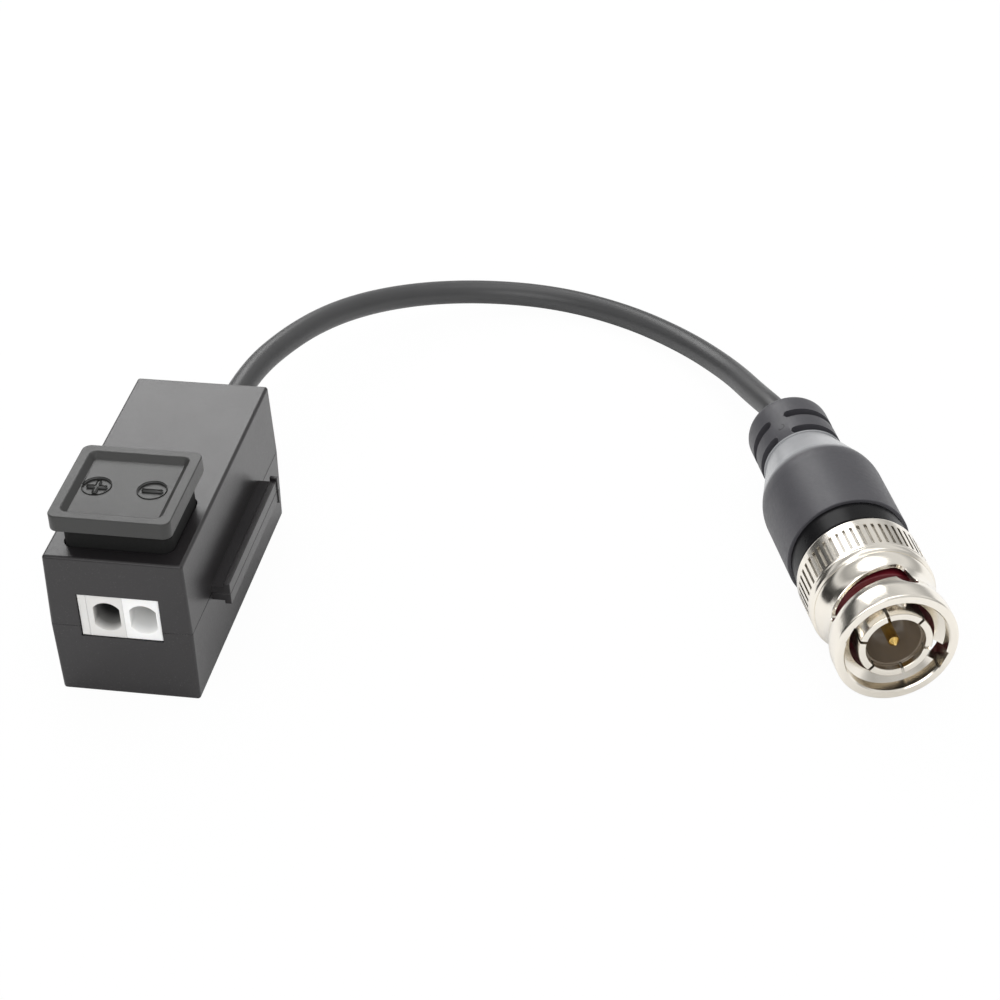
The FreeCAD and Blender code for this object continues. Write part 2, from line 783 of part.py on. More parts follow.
def press_button():
    """A dished cap on a hollow neck, with two catches and a prong over each clamp."""
    cap = prism("cap", rounded_rectangle(d.cap_width / 2, d.cap_length / 2, d.cap_corner, ZERO, button_y),
                d.cap_thickness, cap_bottom)
    slope = d.well_depth * sine(d.well_draft) / cosine(d.well_draft)
    inset = d.well_margin + slope
    well = prism("well", rounded_rectangle(d.cap_width / 2 - inset, d.cap_length / 2 - inset,
                                           d.well_corner, ZERO, button_y),
                 d.well_depth * 2, cap_top - d.well_depth, d.well_draft)
    sign_floor = cap_top - d.well_depth - d.sign_depth
    centres = (("plus", -d.sign_spacing / 2 - d.sign_shift), ("minus", d.sign_spacing / 2 - d.sign_shift))
    sign_y = button_y + d.sign_setback
    discs = [rod(f"{title}_disc", d.sign_disc_radius, d.sign_depth + OVERSHOOT, x, sign_y, sign_floor)
             for title, x in centres]
    heights = (sign_floor - d.sign_depth, cap_top - d.well_depth)
    long_half, short_half = d.sign_bar_length / 2, d.sign_bar_width / 2
    across, along = (sign_y - short_half, sign_y + short_half), (sign_y - long_half, sign_y + long_half)
    bars = [block(f"{title}_bar", (x - long_half, x + long_half), across, heights)
            for title, x in centres]
    x = centres[0][1]
    bars.append(block("plus_cross", (x - short_half, x + short_half), along, heights))

    catch_top = ceiling - d.catch_gap
    neck_bottom = catch_top - d.catch_height
    neck_height = cap_bottom - neck_bottom
    half_x, half_y = d.neck_width / 2, d.neck_length / 2
    neck = cut(
        "neck",
        prism("neck_outside", rounded_rectangle(half_x, half_y, d.neck_corner, ZERO, button_y),
              neck_height, neck_bottom),
        prism("neck_inside", rectangle(half_x - d.neck_wall, half_y - d.neck_wall, ZERO, button_y),
              neck_height + OVERSHOOT / 2, neck_bottom - OVERSHOOT / 2),
    )
    catches = [
        block(f"catch_{title}", (-half_x / 2, half_x / 2), edges, (neck_bottom, catch_top))
        for title, edges in (
            ("front", (button_y - half_y - d.catch_reach, button_y - half_y + d.neck_wall / 2)),
            ("back", (button_y + half_y - d.neck_wall / 2, button_y + half_y + d.catch_reach)),
        )
    ]
    along_arm = d.clamp_arm * d.prong_arm_share
    middle_y = arm_root_y + along_arm * run
    arm_under_prong = arm_root_z + (along_arm + d.prong_thickness / 2 / run) * rise
    prongs = []
    for pole, left in POLES.items():
        right = left + d.terminal_pitch - d.chamber_wall - d.side_gap
        prongs.append(block("prong_" + pole, (right - d.prong_width, right),
                            (middle_y - d.prong_thickness / 2, middle_y + d.prong_thickness / 2),
                            (arm_under_prong + d.prong_lift, cap_bottom + d.cap_thickness / 4)))
    return fuse("press_button", cut("dished_cap", cap, well, *discs), neck, *catches, *prongs, *bars)


# Circuit board and what stands on it

def circuit_board():
    board = block("board", (-d.board_width / 2, d.board_width / 2), (board_front, board_back),
                  (d.board_height, board_top))
    tools = []
    for number, (x, y) in enumerate(boss_places()):
        tools.append(rod(f"board_notch_{number}", d.boss_radius + d.board_clearance * 2,
                         d.board_thickness + OVERSHOOT * 2, x, y, d.board_height - OVERSHOOT))
    for pole, left in POLES.items():
        tools.append(block("board_slot_" + pole, widened(bar_side(left), d.board_clearance),
                           (bar_back - d.bar_thickness - d.board_clearance, bar_back + d.board_clearance),
                           (d.board_height - OVERSHOOT, board_top + OVERSHOOT)))
    return cut("circuit_board", board, *tools)


core_bottom = board_top + d.winding_wire + d.winding_clearance * 2
core_top = core_bottom + d.core_height


def balun_core():
    outside = rod("core_outside", d.core_outer_radius, d.core_height, d.core_x, d.core_y, core_bottom)
    inside = rod("core_inside", d.core_inner_radius, d.core_height + OVERSHOOT * 2, d.core_x, d.core_y,
                 core_bottom - OVERSHOOT)
    return cut("balun_core", outside, inside)


def balun_winding():
    """Turns of wire round the section of the core, joined by a lead round its foot."""
    near, far = d.core_inner_radius - d.winding_clearance, d.core_outer_radius + d.winding_clearance
    low, high = core_bottom - d.winding_clearance, core_top + d.winding_clearance
    half_wire = d.winding_wire / 2
    count = int(d.winding_turns.value)
    turns = []
    for number in range(count):
        turn = cut(
            f"turn_{number}",
            block(f"turn_outside_{number}", widened((near, far), d.winding_wire), (-half_wire, half_wire),
                  widened((low, high), d.winding_wire)),
            block(f"turn_inside_{number}", (near, far), (-half_wire - OVERSHOOT, half_wire + OVERSHOOT),
                  (low, high)),
        )
        place(turn, d.core_x, d.core_y, ZERO, Rotation(Vector(0, 0, 1), FULL_TURN * number / count))
        turns.append(turn)
    lead = cut(
        "winding_lead",
        rod("lead_outside", far + d.winding_wire, d.winding_wire, d.core_x, d.core_y, low - d.winding_wire),
        rod("lead_inside", far, d.winding_wire + OVERSHOOT * 2, d.core_x, d.core_y,
            low - d.winding_wire - OVERSHOOT),
    )
    return fuse("balun_winding", lead, *turns)


def chip(name, length, width, height, x, y, rotation=None):
    """A surface-mounted block with a solder tab under each end."""
    half, tab = length / 2, height / 4
    tab_width = (-width * 3 / 8, width * 3 / 8)
    thing = fuse(
        name,
        block(name + "_body", (-half, half), (-width / 2, width / 2), (tab / 2, height)),
        block(name + "_near_tab", (-half - tab, d.solder_tab - half), tab_width, (ZERO, tab)),
        block(name + "_far_tab", (half - d.solder_tab, half + tab), tab_width, (ZERO, tab)),
    )
    place(thing, x, y, board_top, rotation)
    return thing


def filter_capacitor():
    """A disc that stands on two leads."""
    x, y = d.capacitor_x, jacket_end - d.capacitor_gap - d.capacitor_radius
    disc = rod("capacitor_disc", d.capacitor_radius, d.capacitor_thickness, x - d.capacitor_thickness / 2, y,
               board_top + d.lead_rise + d.capacitor_radius, ALONG_X)
    lead_length = d.lead_rise + d.capacitor_radius
    leads = [
        rod(f"capacitor_lead_{number}", d.lead_radius, lead_length, x, y + offset, board_top)
        for number, offset in enumerate((-d.lead_spacing / 2, d.lead_spacing / 2))
    ]
    return fuse("filter_capacitor", disc, *leads)


# Cord

cord_bore = d.cord_radius + d.bore_clearance
jacket_end = half_length - d.strip_back


def cord_clamp():
    saddle = block("clamp_block", (-d.clamp_block_width / 2, d.clamp_block_width / 2),
                   (jacket_end, jacket_end + d.clamp_block_length),
                   (board_top, seam + cord_bore + d.clamp_block_cover))
    bore = rod("clamp_bore", cord_bore, d.clamp_block_length + OVERSHOOT * 2, ZERO, jacket_end - OVERSHOOT,
               seam, ALONG_Y)
    return cut("cord_clamp", saddle, bore)


def cord_grommet():
    """A moulded strain relief, locked in the back wall by its flanges."""
    wall_face = -d.wall - d.board_clearance
    play = d.grommet_play
    return lay_in_back_wall(turned("cord_grommet", [
        (cord_bore, wall_face - d.grommet_lock), (d.grommet_lock_radius, wall_face - d.grommet_lock),
        (d.grommet_lock_radius, wall_face), (d.grommet_neck_radius, wall_face),
        (d.grommet_neck_radius, play), (d.grommet_flange_radius, play),
        (d.grommet_flange_radius, d.grommet_flange), (d.grommet_root_radius, d.grommet_flange),
        (d.grommet_tip_radius, d.grommet_reach), (cord_bore, d.grommet_reach),
    ]))


def cord_end_in_housing():
    """The end of the same cord inside: jacket to the clamp, stripped core, wire down to the board."""
    core_end = jacket_end - d.stripped_core
    wire_end = core_end - d.bare_conductor
    return fuse(
        "cord_end_in_housing",
        rod("inner_jacket", d.cord_radius, d.strip_back + d.grommet_reach, ZERO, jacket_end, seam, ALONG_Y),
        rod("inner_core", d.dielectric_radius, d.stripped_core + OVERSHOOT, ZERO, core_end, seam, ALONG_Y),
        rod("inner_wire", d.conductor_radius, d.bare_conductor + OVERSHOOT, ZERO, wire_end, seam, ALONG_Y),
        rod("wire_drop", d.drop_radius, seam + d.drop_radius - board_top, ZERO, wire_end, board_top),
    )


def plug_direction():
    azimuth = math.radians(d.plug_azimuth.value)
    return Vector(-math.sin(azimuth), math.cos(azimuth), 0)


# Corners of the cord's route between its two straight leads, chosen by hand: it falls from the
# grommet to the surface, runs round in one open bend and climbs to the boot.
CORD_BEND = [
    (3.5, 46.8, 8.9),
    (7.9, 56.8, 6.9),
    (14.6, 64.7, 4.7),
    (23.5, 69.6, 2.9),
    (33.8, 70.6, 2.0),
    (44.0, 67.7, 1.62),
    (53.1, 61.8, 1.75),
    (60.3, 54.2, 2.5),
    (64.9, 46.0, 4.2),
]
CORD_LEAD = 8.2
CORD_PLUG_LEAD = 5.5
ARC_SHARE = 0.45


def cord_route():
    """The corners of the route from the grommet's tip to the end of the boot."""
    start = Vector(0, half_length.value + d.grommet_reach.value, seam.value)
    mouth = Vector(d.plug_x.value, d.plug_y.value, d.boot_radius.value)
    end = mouth + plug_direction() * d.boot_end.value
    bend = [Vector(*corner) for corner in CORD_BEND]
    return [start, start + Vector(0, CORD_LEAD, 0)] + bend + [end + plug_direction() * CORD_PLUG_LEAD, end]


def coax_cord():
    """A tube along straight runs that are joined by arcs as large as the runs allow."""
    corners = cord_route()
    edges, radii = [], []
    here = corners[0]
    for before, corner, after in zip(corners, corners[1:], corners[2:]):
        arrive, leave = (corner - before), (after - corner)
        trim = ARC_SHARE * min(arrive.Length, leave.Length)
        turn = arrive.getAngle(leave)
        radii.append(trim / math.tan(turn / 2))
        arrive.normalize()
        leave.normalize()
        arc_start, arc_end = corner - arrive * trim, corner + leave * trim
        inwards = (leave - arrive).normalize()
        centre_distance = radii[-1] / math.cos(turn / 2)
        crown = corner + inwards * (centre_distance - radii[-1])
        edges.append(Part.LineSegment(here, arc_start).toShape())
        edges.append(Part.Arc(arc_start, crown, arc_end).toShape())
        here = arc_end
    edges.append(Part.LineSegment(here, corners[-1]).toShape())
    path = Part.Wire(edges)
    first = corners[1] - corners[0]
    ring = Part.Wire([Part.Circle(corners[0], first, d.cord_radius.value).toShape()])
    solid = path.makePipeShell([ring], True, False)
    expected = math.pi * d.cord_radius.value ** 2 * path.Length
    print(f"cord length {path.Length:.2f} mm, radii {[round(radius, 1) for radius in radii]}")
    print(f"cord runs {[round((b - a).Length, 1) for a, b in zip(corners, corners[1:])]}")
    print(f"cord volume over section times length {solid.Volume / expected:.4f}")
    thing = doc.addObject("Part::Feature", "coax_cord")
    thing.Shape = solid
    return thing


# Plug, each piece drawn upright with the nut's rim at zero

flange_front = d.nut_chamber_front + d.flange_gap
flange_back = flange_front + d.flange_thickness
tail_back = d.barrel_back + d.tail_length
ferrule_front = d.barrel_back + d.ferrule_start
ferrule_back = ferrule_front + d.ferrule_length
washer_front = flange_back + d.wave_washer_height
washer_back = washer_front + d.washer_thickness
ring_front = washer_back + d.washer_gap
ring_back = ring_front + d.snap_ring_thickness
fit = d.bore_clearance


def turned_about_axis(thing, angle, x, y, z):
    """Turns a box that starts at (x, y, z) about the Z axis, with its corner tied to the sheet."""
    turn_cos, turn_sin = cosine(angle), sine(angle)
    thing.Placement = Placement(Vector(), Rotation(Vector(0, 0, 1), angle.value))
    place(thing, x * turn_cos - y * turn_sin, x * turn_sin + y * turn_cos, z)


def radial_block(name, inner, outer, half_width_size, start, end, angle):
    """A box that points outwards from the axis of the plug."""
    bar = block(name, (inner, outer), (-half_width_size, half_width_size), (start, end))
    turned_about_axis(bar, angle, sized(inner), -half_width_size, sized(start))
    return bar


def plug_boot():
    """The moulded boot: a grooved collar, a cone, a round body and a tapered front lip."""
    body = turned("boot_body", [
        (d.barrel_radius + fit, d.boot_front), (d.boot_front_radius, d.boot_front),
        (d.boot_radius, d.boot_lip), (d.boot_radius, d.boot_shoulder_start),
        (d.boot_shoulder_radius, d.boot_shoulder, -d.boot_shoulder_crown),
        (d.boot_neck_radius, d.groove_front), (d.boot_collar_radius, d.groove_front),
        (d.boot_collar_radius, d.boot_end - d.boot_end_radius),
        (d.boot_collar_radius - d.boot_end_radius, d.boot_end, -(d.boot_end_radius * CORNER_SAGITTA)),
        (cord_bore, d.boot_end), (cord_bore, ferrule_back + fit),
        (cord_bore + d.ferrule_wall + fit, ferrule_back + fit),
        (cord_bore + d.ferrule_wall + fit, d.barrel_back + fit),
        (d.barrel_radius + fit, d.barrel_back + fit),
        (d.barrel_radius + fit, d.lock_front + d.lock_length + fit),
        (d.lock_radius + fit, d.lock_front + d.lock_length + fit),
        (d.lock_radius + fit, d.lock_front - fit),
        (d.barrel_radius + fit, d.lock_front - fit),
    ])
    outer = d.boot_collar_radius + OVERSHOOT
    floor = d.boot_collar_radius - d.groove_depth
    rings = [turned(f"boot_groove_{number}", tube(floor, outer, start, start + d.groove_width))
             for number, start in enumerate((d.groove_front, d.groove_back))]
    rib = radial_block("groove_rib_bar", -outer, outer, d.groove_rib / 2, d.groove_front - OVERSHOOT,
                       d.groove_back + OVERSHOOT * 2, d.groove_rib_angle)
    return lay_in_plug(cut("plug_boot", body, cut("boot_grooves", fuse("boot_rings", *rings), rib)))


def crimp_ferrule():
    return lay_in_plug(turned("crimp_ferrule",
                              tube(cord_bore, cord_bore + d.ferrule_wall, ferrule_front, ferrule_back)))


def cord_end_in_plug():
    """The other end of the cord: wire in the pin, core through the tail, braid over it, jacket."""
    jacket_front = tail_back + fit
    return lay_in_plug(turned("cord_end_in_plug", [
        (ZERO, d.pin_back - d.pin_cup_depth / 2), (d.conductor_radius, d.pin_back - d.pin_cup_depth / 2),
        (d.conductor_radius, d.insulator_back + fit), (d.dielectric_radius, d.insulator_back + fit),
        (d.dielectric_radius, jacket_front), (d.tail_radius + fit, jacket_front),
        (d.tail_radius + fit, ferrule_front), (d.cord_radius, ferrule_front),
        (d.cord_radius, d.boot_end), (ZERO, d.boot_end),
    ]))


def plug_body():
    return lay_in_plug(turned("plug_body", [
        (d.contact_outer_radius + fit, d.collar_front), (d.collar_radius, d.collar_front),
        (d.collar_radius, flange_front), (d.flange_radius, flange_front),
        (d.flange_radius, flange_back), (d.barrel_radius, flange_back),
        (d.barrel_radius, d.lock_front), (d.lock_radius, d.lock_front),
        (d.lock_radius, d.lock_front + d.lock_length), (d.barrel_radius, d.lock_front + d.lock_length),
        (d.barrel_radius, d.barrel_back), (d.tail_radius, d.barrel_back),
        (d.tail_radius, tail_back), (d.tail_bore_radius, tail_back),
        (d.tail_bore_radius, d.insulator_back), (d.contact_inner_radius, d.insulator_back),
        (d.contact_inner_radius, d.contact_back), (d.contact_outer_radius + fit, d.contact_back),
    ]))


def outer_contact():
    """The sprung sleeve of the plug, slotted from its mouth."""
    sleeve = turned("contact_sleeve",
                    tube(d.contact_inner_radius, d.contact_outer_radius, d.contact_front, d.contact_back))
    count = int(d.contact_slots.value)
    slots = [
        radial_block(f"contact_slot_{number}", ZERO, d.contact_outer_radius + OVERSHOOT,
                     d.contact_slot_width / 2, d.contact_front - OVERSHOOT,
                     d.contact_front + d.contact_slot_length,
                     d.contact_slot_angle + FULL_TURN * number / count)
        for number in range(count)
    ]
    return lay_in_plug(cut("outer_contact", sleeve, *slots))


def plug_insulator():
    """A dished core that lines the sleeve up to its front and carries the pin."""
    shoulder = d.pin_shoulder - fit
    outer = d.contact_inner_radius - fit
    return lay_in_plug(turned("plug_insulator", [
        (d.pin_radius + fit, d.insulator_floor), (d.insulator_floor_radius, d.insulator_floor),
        (outer - d.insulator_wall, d.insulator_front), (outer, d.insulator_front),
        (outer, d.insulator_back), (d.pin_shoulder_radius + fit, d.insulator_back),
        (d.pin_shoulder_radius + fit, shoulder), (d.pin_radius + fit, shoulder),
    ]))


def centre_pin():
    return lay_in_plug(turned("centre_pin", [
        (ZERO, d.pin_tip), (d.pin_tip_radius, d.pin_tip), (d.pin_radius, d.pin_tip + d.pin_cone),
        (d.pin_radius, d.pin_shoulder), (d.pin_shoulder_radius, d.pin_shoulder),
        (d.pin_shoulder_radius, d.pin_back), (d.pin_cup_radius, d.pin_back),
        (d.pin_cup_radius, d.pin_back - d.pin_cup_depth), (ZERO, d.pin_back - d.pin_cup_depth),
    ]))


def plug_gasket():
    section = tube(d.contact_outer_radius + fit, d.gasket_radius, d.gasket_front, d.collar_front)
    return lay_in_plug(turned("plug_gasket", section))


def wave_washer():
    """A thin ring whose height follows a cosine, pressed between the flange and the thrust washer."""
    steps_per_wave = 12
    count = int(d.wave_count.value) * steps_per_wave
    swing = (d.wave_washer_height - d.wave_strip - fit * 2).value / 2
    middle = (flange_back + fit).value + swing
    curves = []
    for radius in (d.washer_bore_radius.value, d.washer_radius.value):
        points = []
        for step in range(count):
            angle = 2 * math.pi * step / count
            height = middle + swing * math.cos(d.wave_count.value * angle)
            points.append(Vector(radius * math.cos(angle), radius * math.sin(angle), height))
        curve = Part.BSplineCurve()
        curve.interpolate(points, PeriodicFlag=True)
        curves.append(curve.toShape())
    face = Part.makeRuledSurface(*curves)
    thing = doc.addObject("Part::Feature", "wave_washer")
    thing.Shape = face.extrude(Vector(0, 0, d.wave_strip.value))
    return lay_in_plug(thing)


def thrust_washer():
    return lay_in_plug(turned("thrust_washer",
                              tube(d.washer_bore_radius, d.washer_radius, washer_front, washer_back)))


def snap_ring():
    """An open ring that sits in a groove inside the nut."""
    ring = turned("whole_ring", tube(d.snap_ring_inner, d.snap_ring_outer, ring_front, ring_back))
    gap = radial_block("ring_gap", ZERO, d.snap_ring_outer + OVERSHOOT, d.snap_ring_thickness,
                       ring_front - OVERSHOOT, ring_back + OVERSHOOT, d.groove_rib_angle)
    return lay_in_plug(cut("snap_ring", ring, gap))


def bayonet_slot(name, angle):
    """The cutter of one slot: a helical ramp for the lug, and the seat where the lug locks."""
    inner, outer = d.nut_bore_radius.value - 1, d.nut_radius.value + 1
    half, lift = d.slot_width.value / 2, d.slot_rise.value
    sweep = d.slot_sweep.value
    spine = Part.Wire(Part.makeHelix(lift * FULL_TURN / sweep, lift, d.nut_bore_radius.value).Edges)
    section = Part.makePolygon([
        Vector(inner, 0, -half), Vector(outer, 0, -half), Vector(outer, 0, half), Vector(inner, 0, half),
        Vector(inner, 0, -half),
    ])
    cutter = spine.makePipeShell([section], True, True)
    seat = (d.detent_angle.value, (d.detent_place - d.slot_start).value)
    for turn, height in ((0, 0), (sweep, lift), ((sweep + seat[0]) / 2, (lift + seat[1]) / 2), seat):
        outwards = Vector(math.cos(math.radians(turn)), math.sin(math.radians(turn)), 0)
        start = outwards * inner + Vector(0, 0, height)
        cutter = cutter.fuse(Part.makeCylinder(half, outer - inner, start, outwards))
    thing = doc.addObject("Part::Feature", name)
    thing.Shape = cutter
    place(thing, ZERO, ZERO, d.slot_start, Rotation(Vector(0, 0, 1), angle.value))
    return thing


def coupling_nut():
    """The turning nut: knurled band, waist with two bayonet slots, rim with two lug grooves."""
    groove_front, groove_back = ring_front - d.snap_groove_clearance, ring_back + d.snap_groove_clearance
    groove_radius = d.snap_ring_outer + d.snap_groove_clearance
    edge_bulge = d.rim_edge * CORNER_SAGITTA
    blank = turned("nut_blank", [
        (d.mouth_radius, ZERO), (d.rim_radius - d.rim_edge, ZERO), (d.rim_radius, d.rim_edge, -edge_bulge),
        (d.rim_radius, d.rim_length), (d.waist_radius, d.waist_place), (d.nut_radius, d.shoulder_place),
        (d.nut_radius, d.nut_length - d.rim_edge), (d.nut_radius - d.rim_edge, d.nut_length, -edge_bulge),
        (d.nut_chamber_radius, d.nut_length), (d.nut_chamber_radius, groove_back),
        (groove_radius, groove_back), (groove_radius, groove_front),
        (d.nut_chamber_radius, groove_front), (d.nut_chamber_radius, d.nut_chamber_front),
        (d.nut_relief_radius, d.nut_chamber_front), (d.nut_relief_radius, d.nut_relief_front),
        (d.nut_bore_radius, d.nut_relief_front), (d.nut_bore_radius, d.mouth_depth + d.mouth_slope),
        (d.mouth_radius, d.mouth_depth),
    ])
    tools = []
    for number in range(2):
        angle = d.slot_angle + 180 * number
        tools.append(bayonet_slot(f"bayonet_slot_{number}", angle))
        tools.append(radial_block(f"lug_groove_{number}", ZERO, d.lug_groove_radius, d.slot_width / 2,
                                  -OVERSHOOT, d.slot_start, angle))
    count = int(d.knurl_count.value)
    for number in range(count):
        tools.append(radial_block(f"knurl_{number}", d.nut_radius - d.knurl_depth, d.nut_radius + OVERSHOOT,
                                  d.knurl_width / 2, d.knurl_front, d.knurl_back,
                                  sized(FULL_TURN * number / count)))
    return lay_in_plug(cut("coupling_nut", blank, *tools))


# The model

def build():
    """Every separate piece, by the name of its node."""
    nodes = {
        "housing_bottom": housing_bottom(),
        "housing_top": housing_top(),
        "press_button": press_button(),
        "terminal_end_plate": terminal_end_plate(),
        "circuit_board": circuit_board(),
        "balun_core": balun_core(),
        "balun_winding": balun_winding(),
        "surge_suppressor": chip("surge_suppressor", d.suppressor_length, d.suppressor_width,
                                 d.suppressor_height, d.suppressor_x, d.suppressor_y, ALONG_BOARD),
        "balance_resistor": chip("balance_resistor", d.resistor_length, d.resistor_width, d.resistor_height,
                                 d.resistor_x, d.resistor_y),
        "filter_capacitor": filter_capacitor(),
        "cord_clamp": cord_clamp(),
        "cord_grommet": cord_grommet(),
        "cord_end_in_housing": cord_end_in_housing(),
        "coax_cord": coax_cord(),
        "cord_end_in_plug": cord_end_in_plug(),
        "plug_boot": plug_boot(),
        "crimp_ferrule": crimp_ferrule(),
        "plug_body": plug_body(),
        "outer_contact": outer_contact(),
        "plug_insulator": plug_insulator(),
        "centre_pin": centre_pin(),
        "plug_gasket": plug_gasket(),
        "wave_washer": wave_washer(),
        "thrust_washer": thrust_washer(),
        "snap_ring": snap_ring(),
        "coupling_nut": coupling_nut(),
    }
    for pole, left in POLES.items():
        nodes["terminal_" + pole] = terminal(pole, left)
        nodes["clamp_spring_" + pole] = clamp_spring(pole, left)
        nodes["contact_bar_" + pole] = contact_bar(pole, left)
    return nodes


def check(nodes):
    """Stops on any object that failed, and on any piece that isn't one valid solid."""
    doc.recompute()
    for thing in doc.Objects:
        if "Invalid" in thing.State or "Error" in thing.State:
            raise RuntimeError(f"{thing.Name} failed: {thing.State}")
    faulty = [
        node for node, thing in nodes.items()
        if thing.Shape.isNull() or not thing.Shape.isValid() or len(thing.Shape.Solids) != 1
    ]
    if faulty:
        raise RuntimeError(f"not one valid solid: {faulty}")


def export(nodes):
    for node, thing in nodes.items():
        thing.Label = node
        thing.Shape.exportStep(f"parts/{node}.step")
        box = thing.Shape.BoundBox
        print(f"{node:24} volume {thing.Shape.Volume:9.2f}  x {box.XMin:7.2f} {box.XMax:7.2f}"
              f"  y {box.YMin:7.2f} {box.YMax:7.2f}  z {box.ZMin:6.2f} {box.ZMax:6.2f}")


model = build()
check(model)
export(model)
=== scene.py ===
"""Finishes of a video balun: a housing with wire terminals, a press button, a coax cord and a bayonet plug.

Every piece is in metres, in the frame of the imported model: the housing stands on the floor with its
terminals towards -Y, and the cord leaves it towards +Y. The plug's pieces are made standing on their
own axis, with the plug's mouth at the bottom, and are then laid where the plug lies.
"""
import math

import bmesh
import bpy
from bpy.props import FloatProperty, FloatVectorProperty, IntProperty, PointerProperty
from mathutils import Matrix, Vector


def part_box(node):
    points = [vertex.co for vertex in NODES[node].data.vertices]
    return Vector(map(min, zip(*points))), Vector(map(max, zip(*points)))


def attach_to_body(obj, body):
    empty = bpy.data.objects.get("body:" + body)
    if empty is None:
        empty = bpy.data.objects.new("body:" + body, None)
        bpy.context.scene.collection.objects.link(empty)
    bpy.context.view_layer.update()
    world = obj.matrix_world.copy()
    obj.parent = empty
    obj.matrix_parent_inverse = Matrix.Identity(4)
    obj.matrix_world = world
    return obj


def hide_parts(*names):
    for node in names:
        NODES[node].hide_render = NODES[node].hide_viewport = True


bl_info = {
    "name": "Video balun finishes",
    "version": (1, 0, 0),
    "blender": (4, 5, 0),
    "location": "3D View > Sidebar > Balun",
    "description": "Models and finishes the visible pieces of a video balun with a coax pigtail",
    "category": "Object",
}

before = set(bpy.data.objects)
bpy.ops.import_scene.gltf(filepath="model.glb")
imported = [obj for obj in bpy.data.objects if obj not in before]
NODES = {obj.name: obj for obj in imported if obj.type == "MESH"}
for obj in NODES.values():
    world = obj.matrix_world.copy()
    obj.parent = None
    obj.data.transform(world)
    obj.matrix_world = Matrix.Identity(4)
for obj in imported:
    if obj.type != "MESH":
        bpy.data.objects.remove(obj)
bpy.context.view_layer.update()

MM = 0.001
MERGE = 0.002 * MM
FULL_TURN = 2 * math.pi

# Where the plug lies: the middle of its mouth, and the way its tail points
PLUG_MOUTH = Vector((87.4, -7.7, 7.45)) * MM
PLUG_AZIMUTH = math.radians(22.5)
PLUG_TAIL = Vector((-math.sin(PLUG_AZIMUTH), math.cos(PLUG_AZIMUTH), 0))
PLUG_SIDE = Vector((math.cos(PLUG_AZIMUTH), math.sin(PLUG_AZIMUTH), 0))
PLUG = Matrix.Translation(PLUG_MOUTH) @ Matrix((Vector((0, 0, 1)), PLUG_SIDE, PLUG_TAIL)).transposed().to_4x4()

# The cord's route: out of the grommet, over the surface and up into the boot
SEAM = 9.65 * MM
GROMMET_TIP = Vector((0, 26.8, 9.65)) * MM
BOOT_END = PLUG_MOUTH + PLUG_TAIL * 45.9 * MM
CORD_ROUTE = [
    GROMMET_TIP,
    Vector((0, 35.0, 9.65)) * MM,
    Vector((3.5, 46.8, 8.9)) * MM,
    Vector((7.9, 56.8, 6.9)) * MM,
    Vector((14.6, 64.7, 4.7)) * MM,
    Vector((23.5, 69.6, 2.9)) * MM,
    Vector((33.8, 70.6, 2.0)) * MM,
    Vector((44.0, 67.7, 1.62)) * MM,
    Vector((53.15, 61.5, 1.95)) * MM,
    Vector((60.45, 53.0, 3.3)) * MM,
    Vector((65.1, 43.9, 5.8)) * MM,
    BOOT_END + PLUG_TAIL * 3.4 * MM,
    BOOT_END,
]

# Camera of the photograph
CAMERA_PLACE = Vector((0.10333, -0.2624, 0.20995))
CAMERA_YAW, CAMERA_PITCH, CAMERA_ROLL = 0.2335, 0.6180, -0.0623
CAMERA_LENS, CAMERA_SENSOR = 103.5, 36.0


class ShellSettings(bpy.types.PropertyGroup):
    """Sizes and colours of the housing, the button and the terminals."""

    case_colour: FloatVectorProperty(name="Case", description="Colour of the moulded shells", subtype="COLOR",
                                     default=(0.017, 0.0155, 0.0165))
    button_colour: FloatVectorProperty(name="Button", description="Colour of the press button", subtype="COLOR",
                                       default=(0.026, 0.026, 0.025))
    grey_colour: FloatVectorProperty(name="Grey terminal", description="Colour of the positive terminal",
                                     subtype="COLOR", default=(0.72, 0.71, 0.69))
    white_colour: FloatVectorProperty(name="White terminal", description="Colour of the negative terminal",
                                      subtype="COLOR", default=(0.92, 0.92, 0.91))
    edge: FloatProperty(name="Edge", description="Rounding of the sharp moulded edges", unit="LENGTH",
                        default=0.09 * MM)
    button_edge: FloatProperty(name="Button edge", description="Rounding of the button's edges", unit="LENGTH",
                               default=0.14 * MM)
    sign_edge: FloatProperty(name="Sign edge", description="Rounding of the raised signs", unit="LENGTH",
                             default=0.03 * MM)


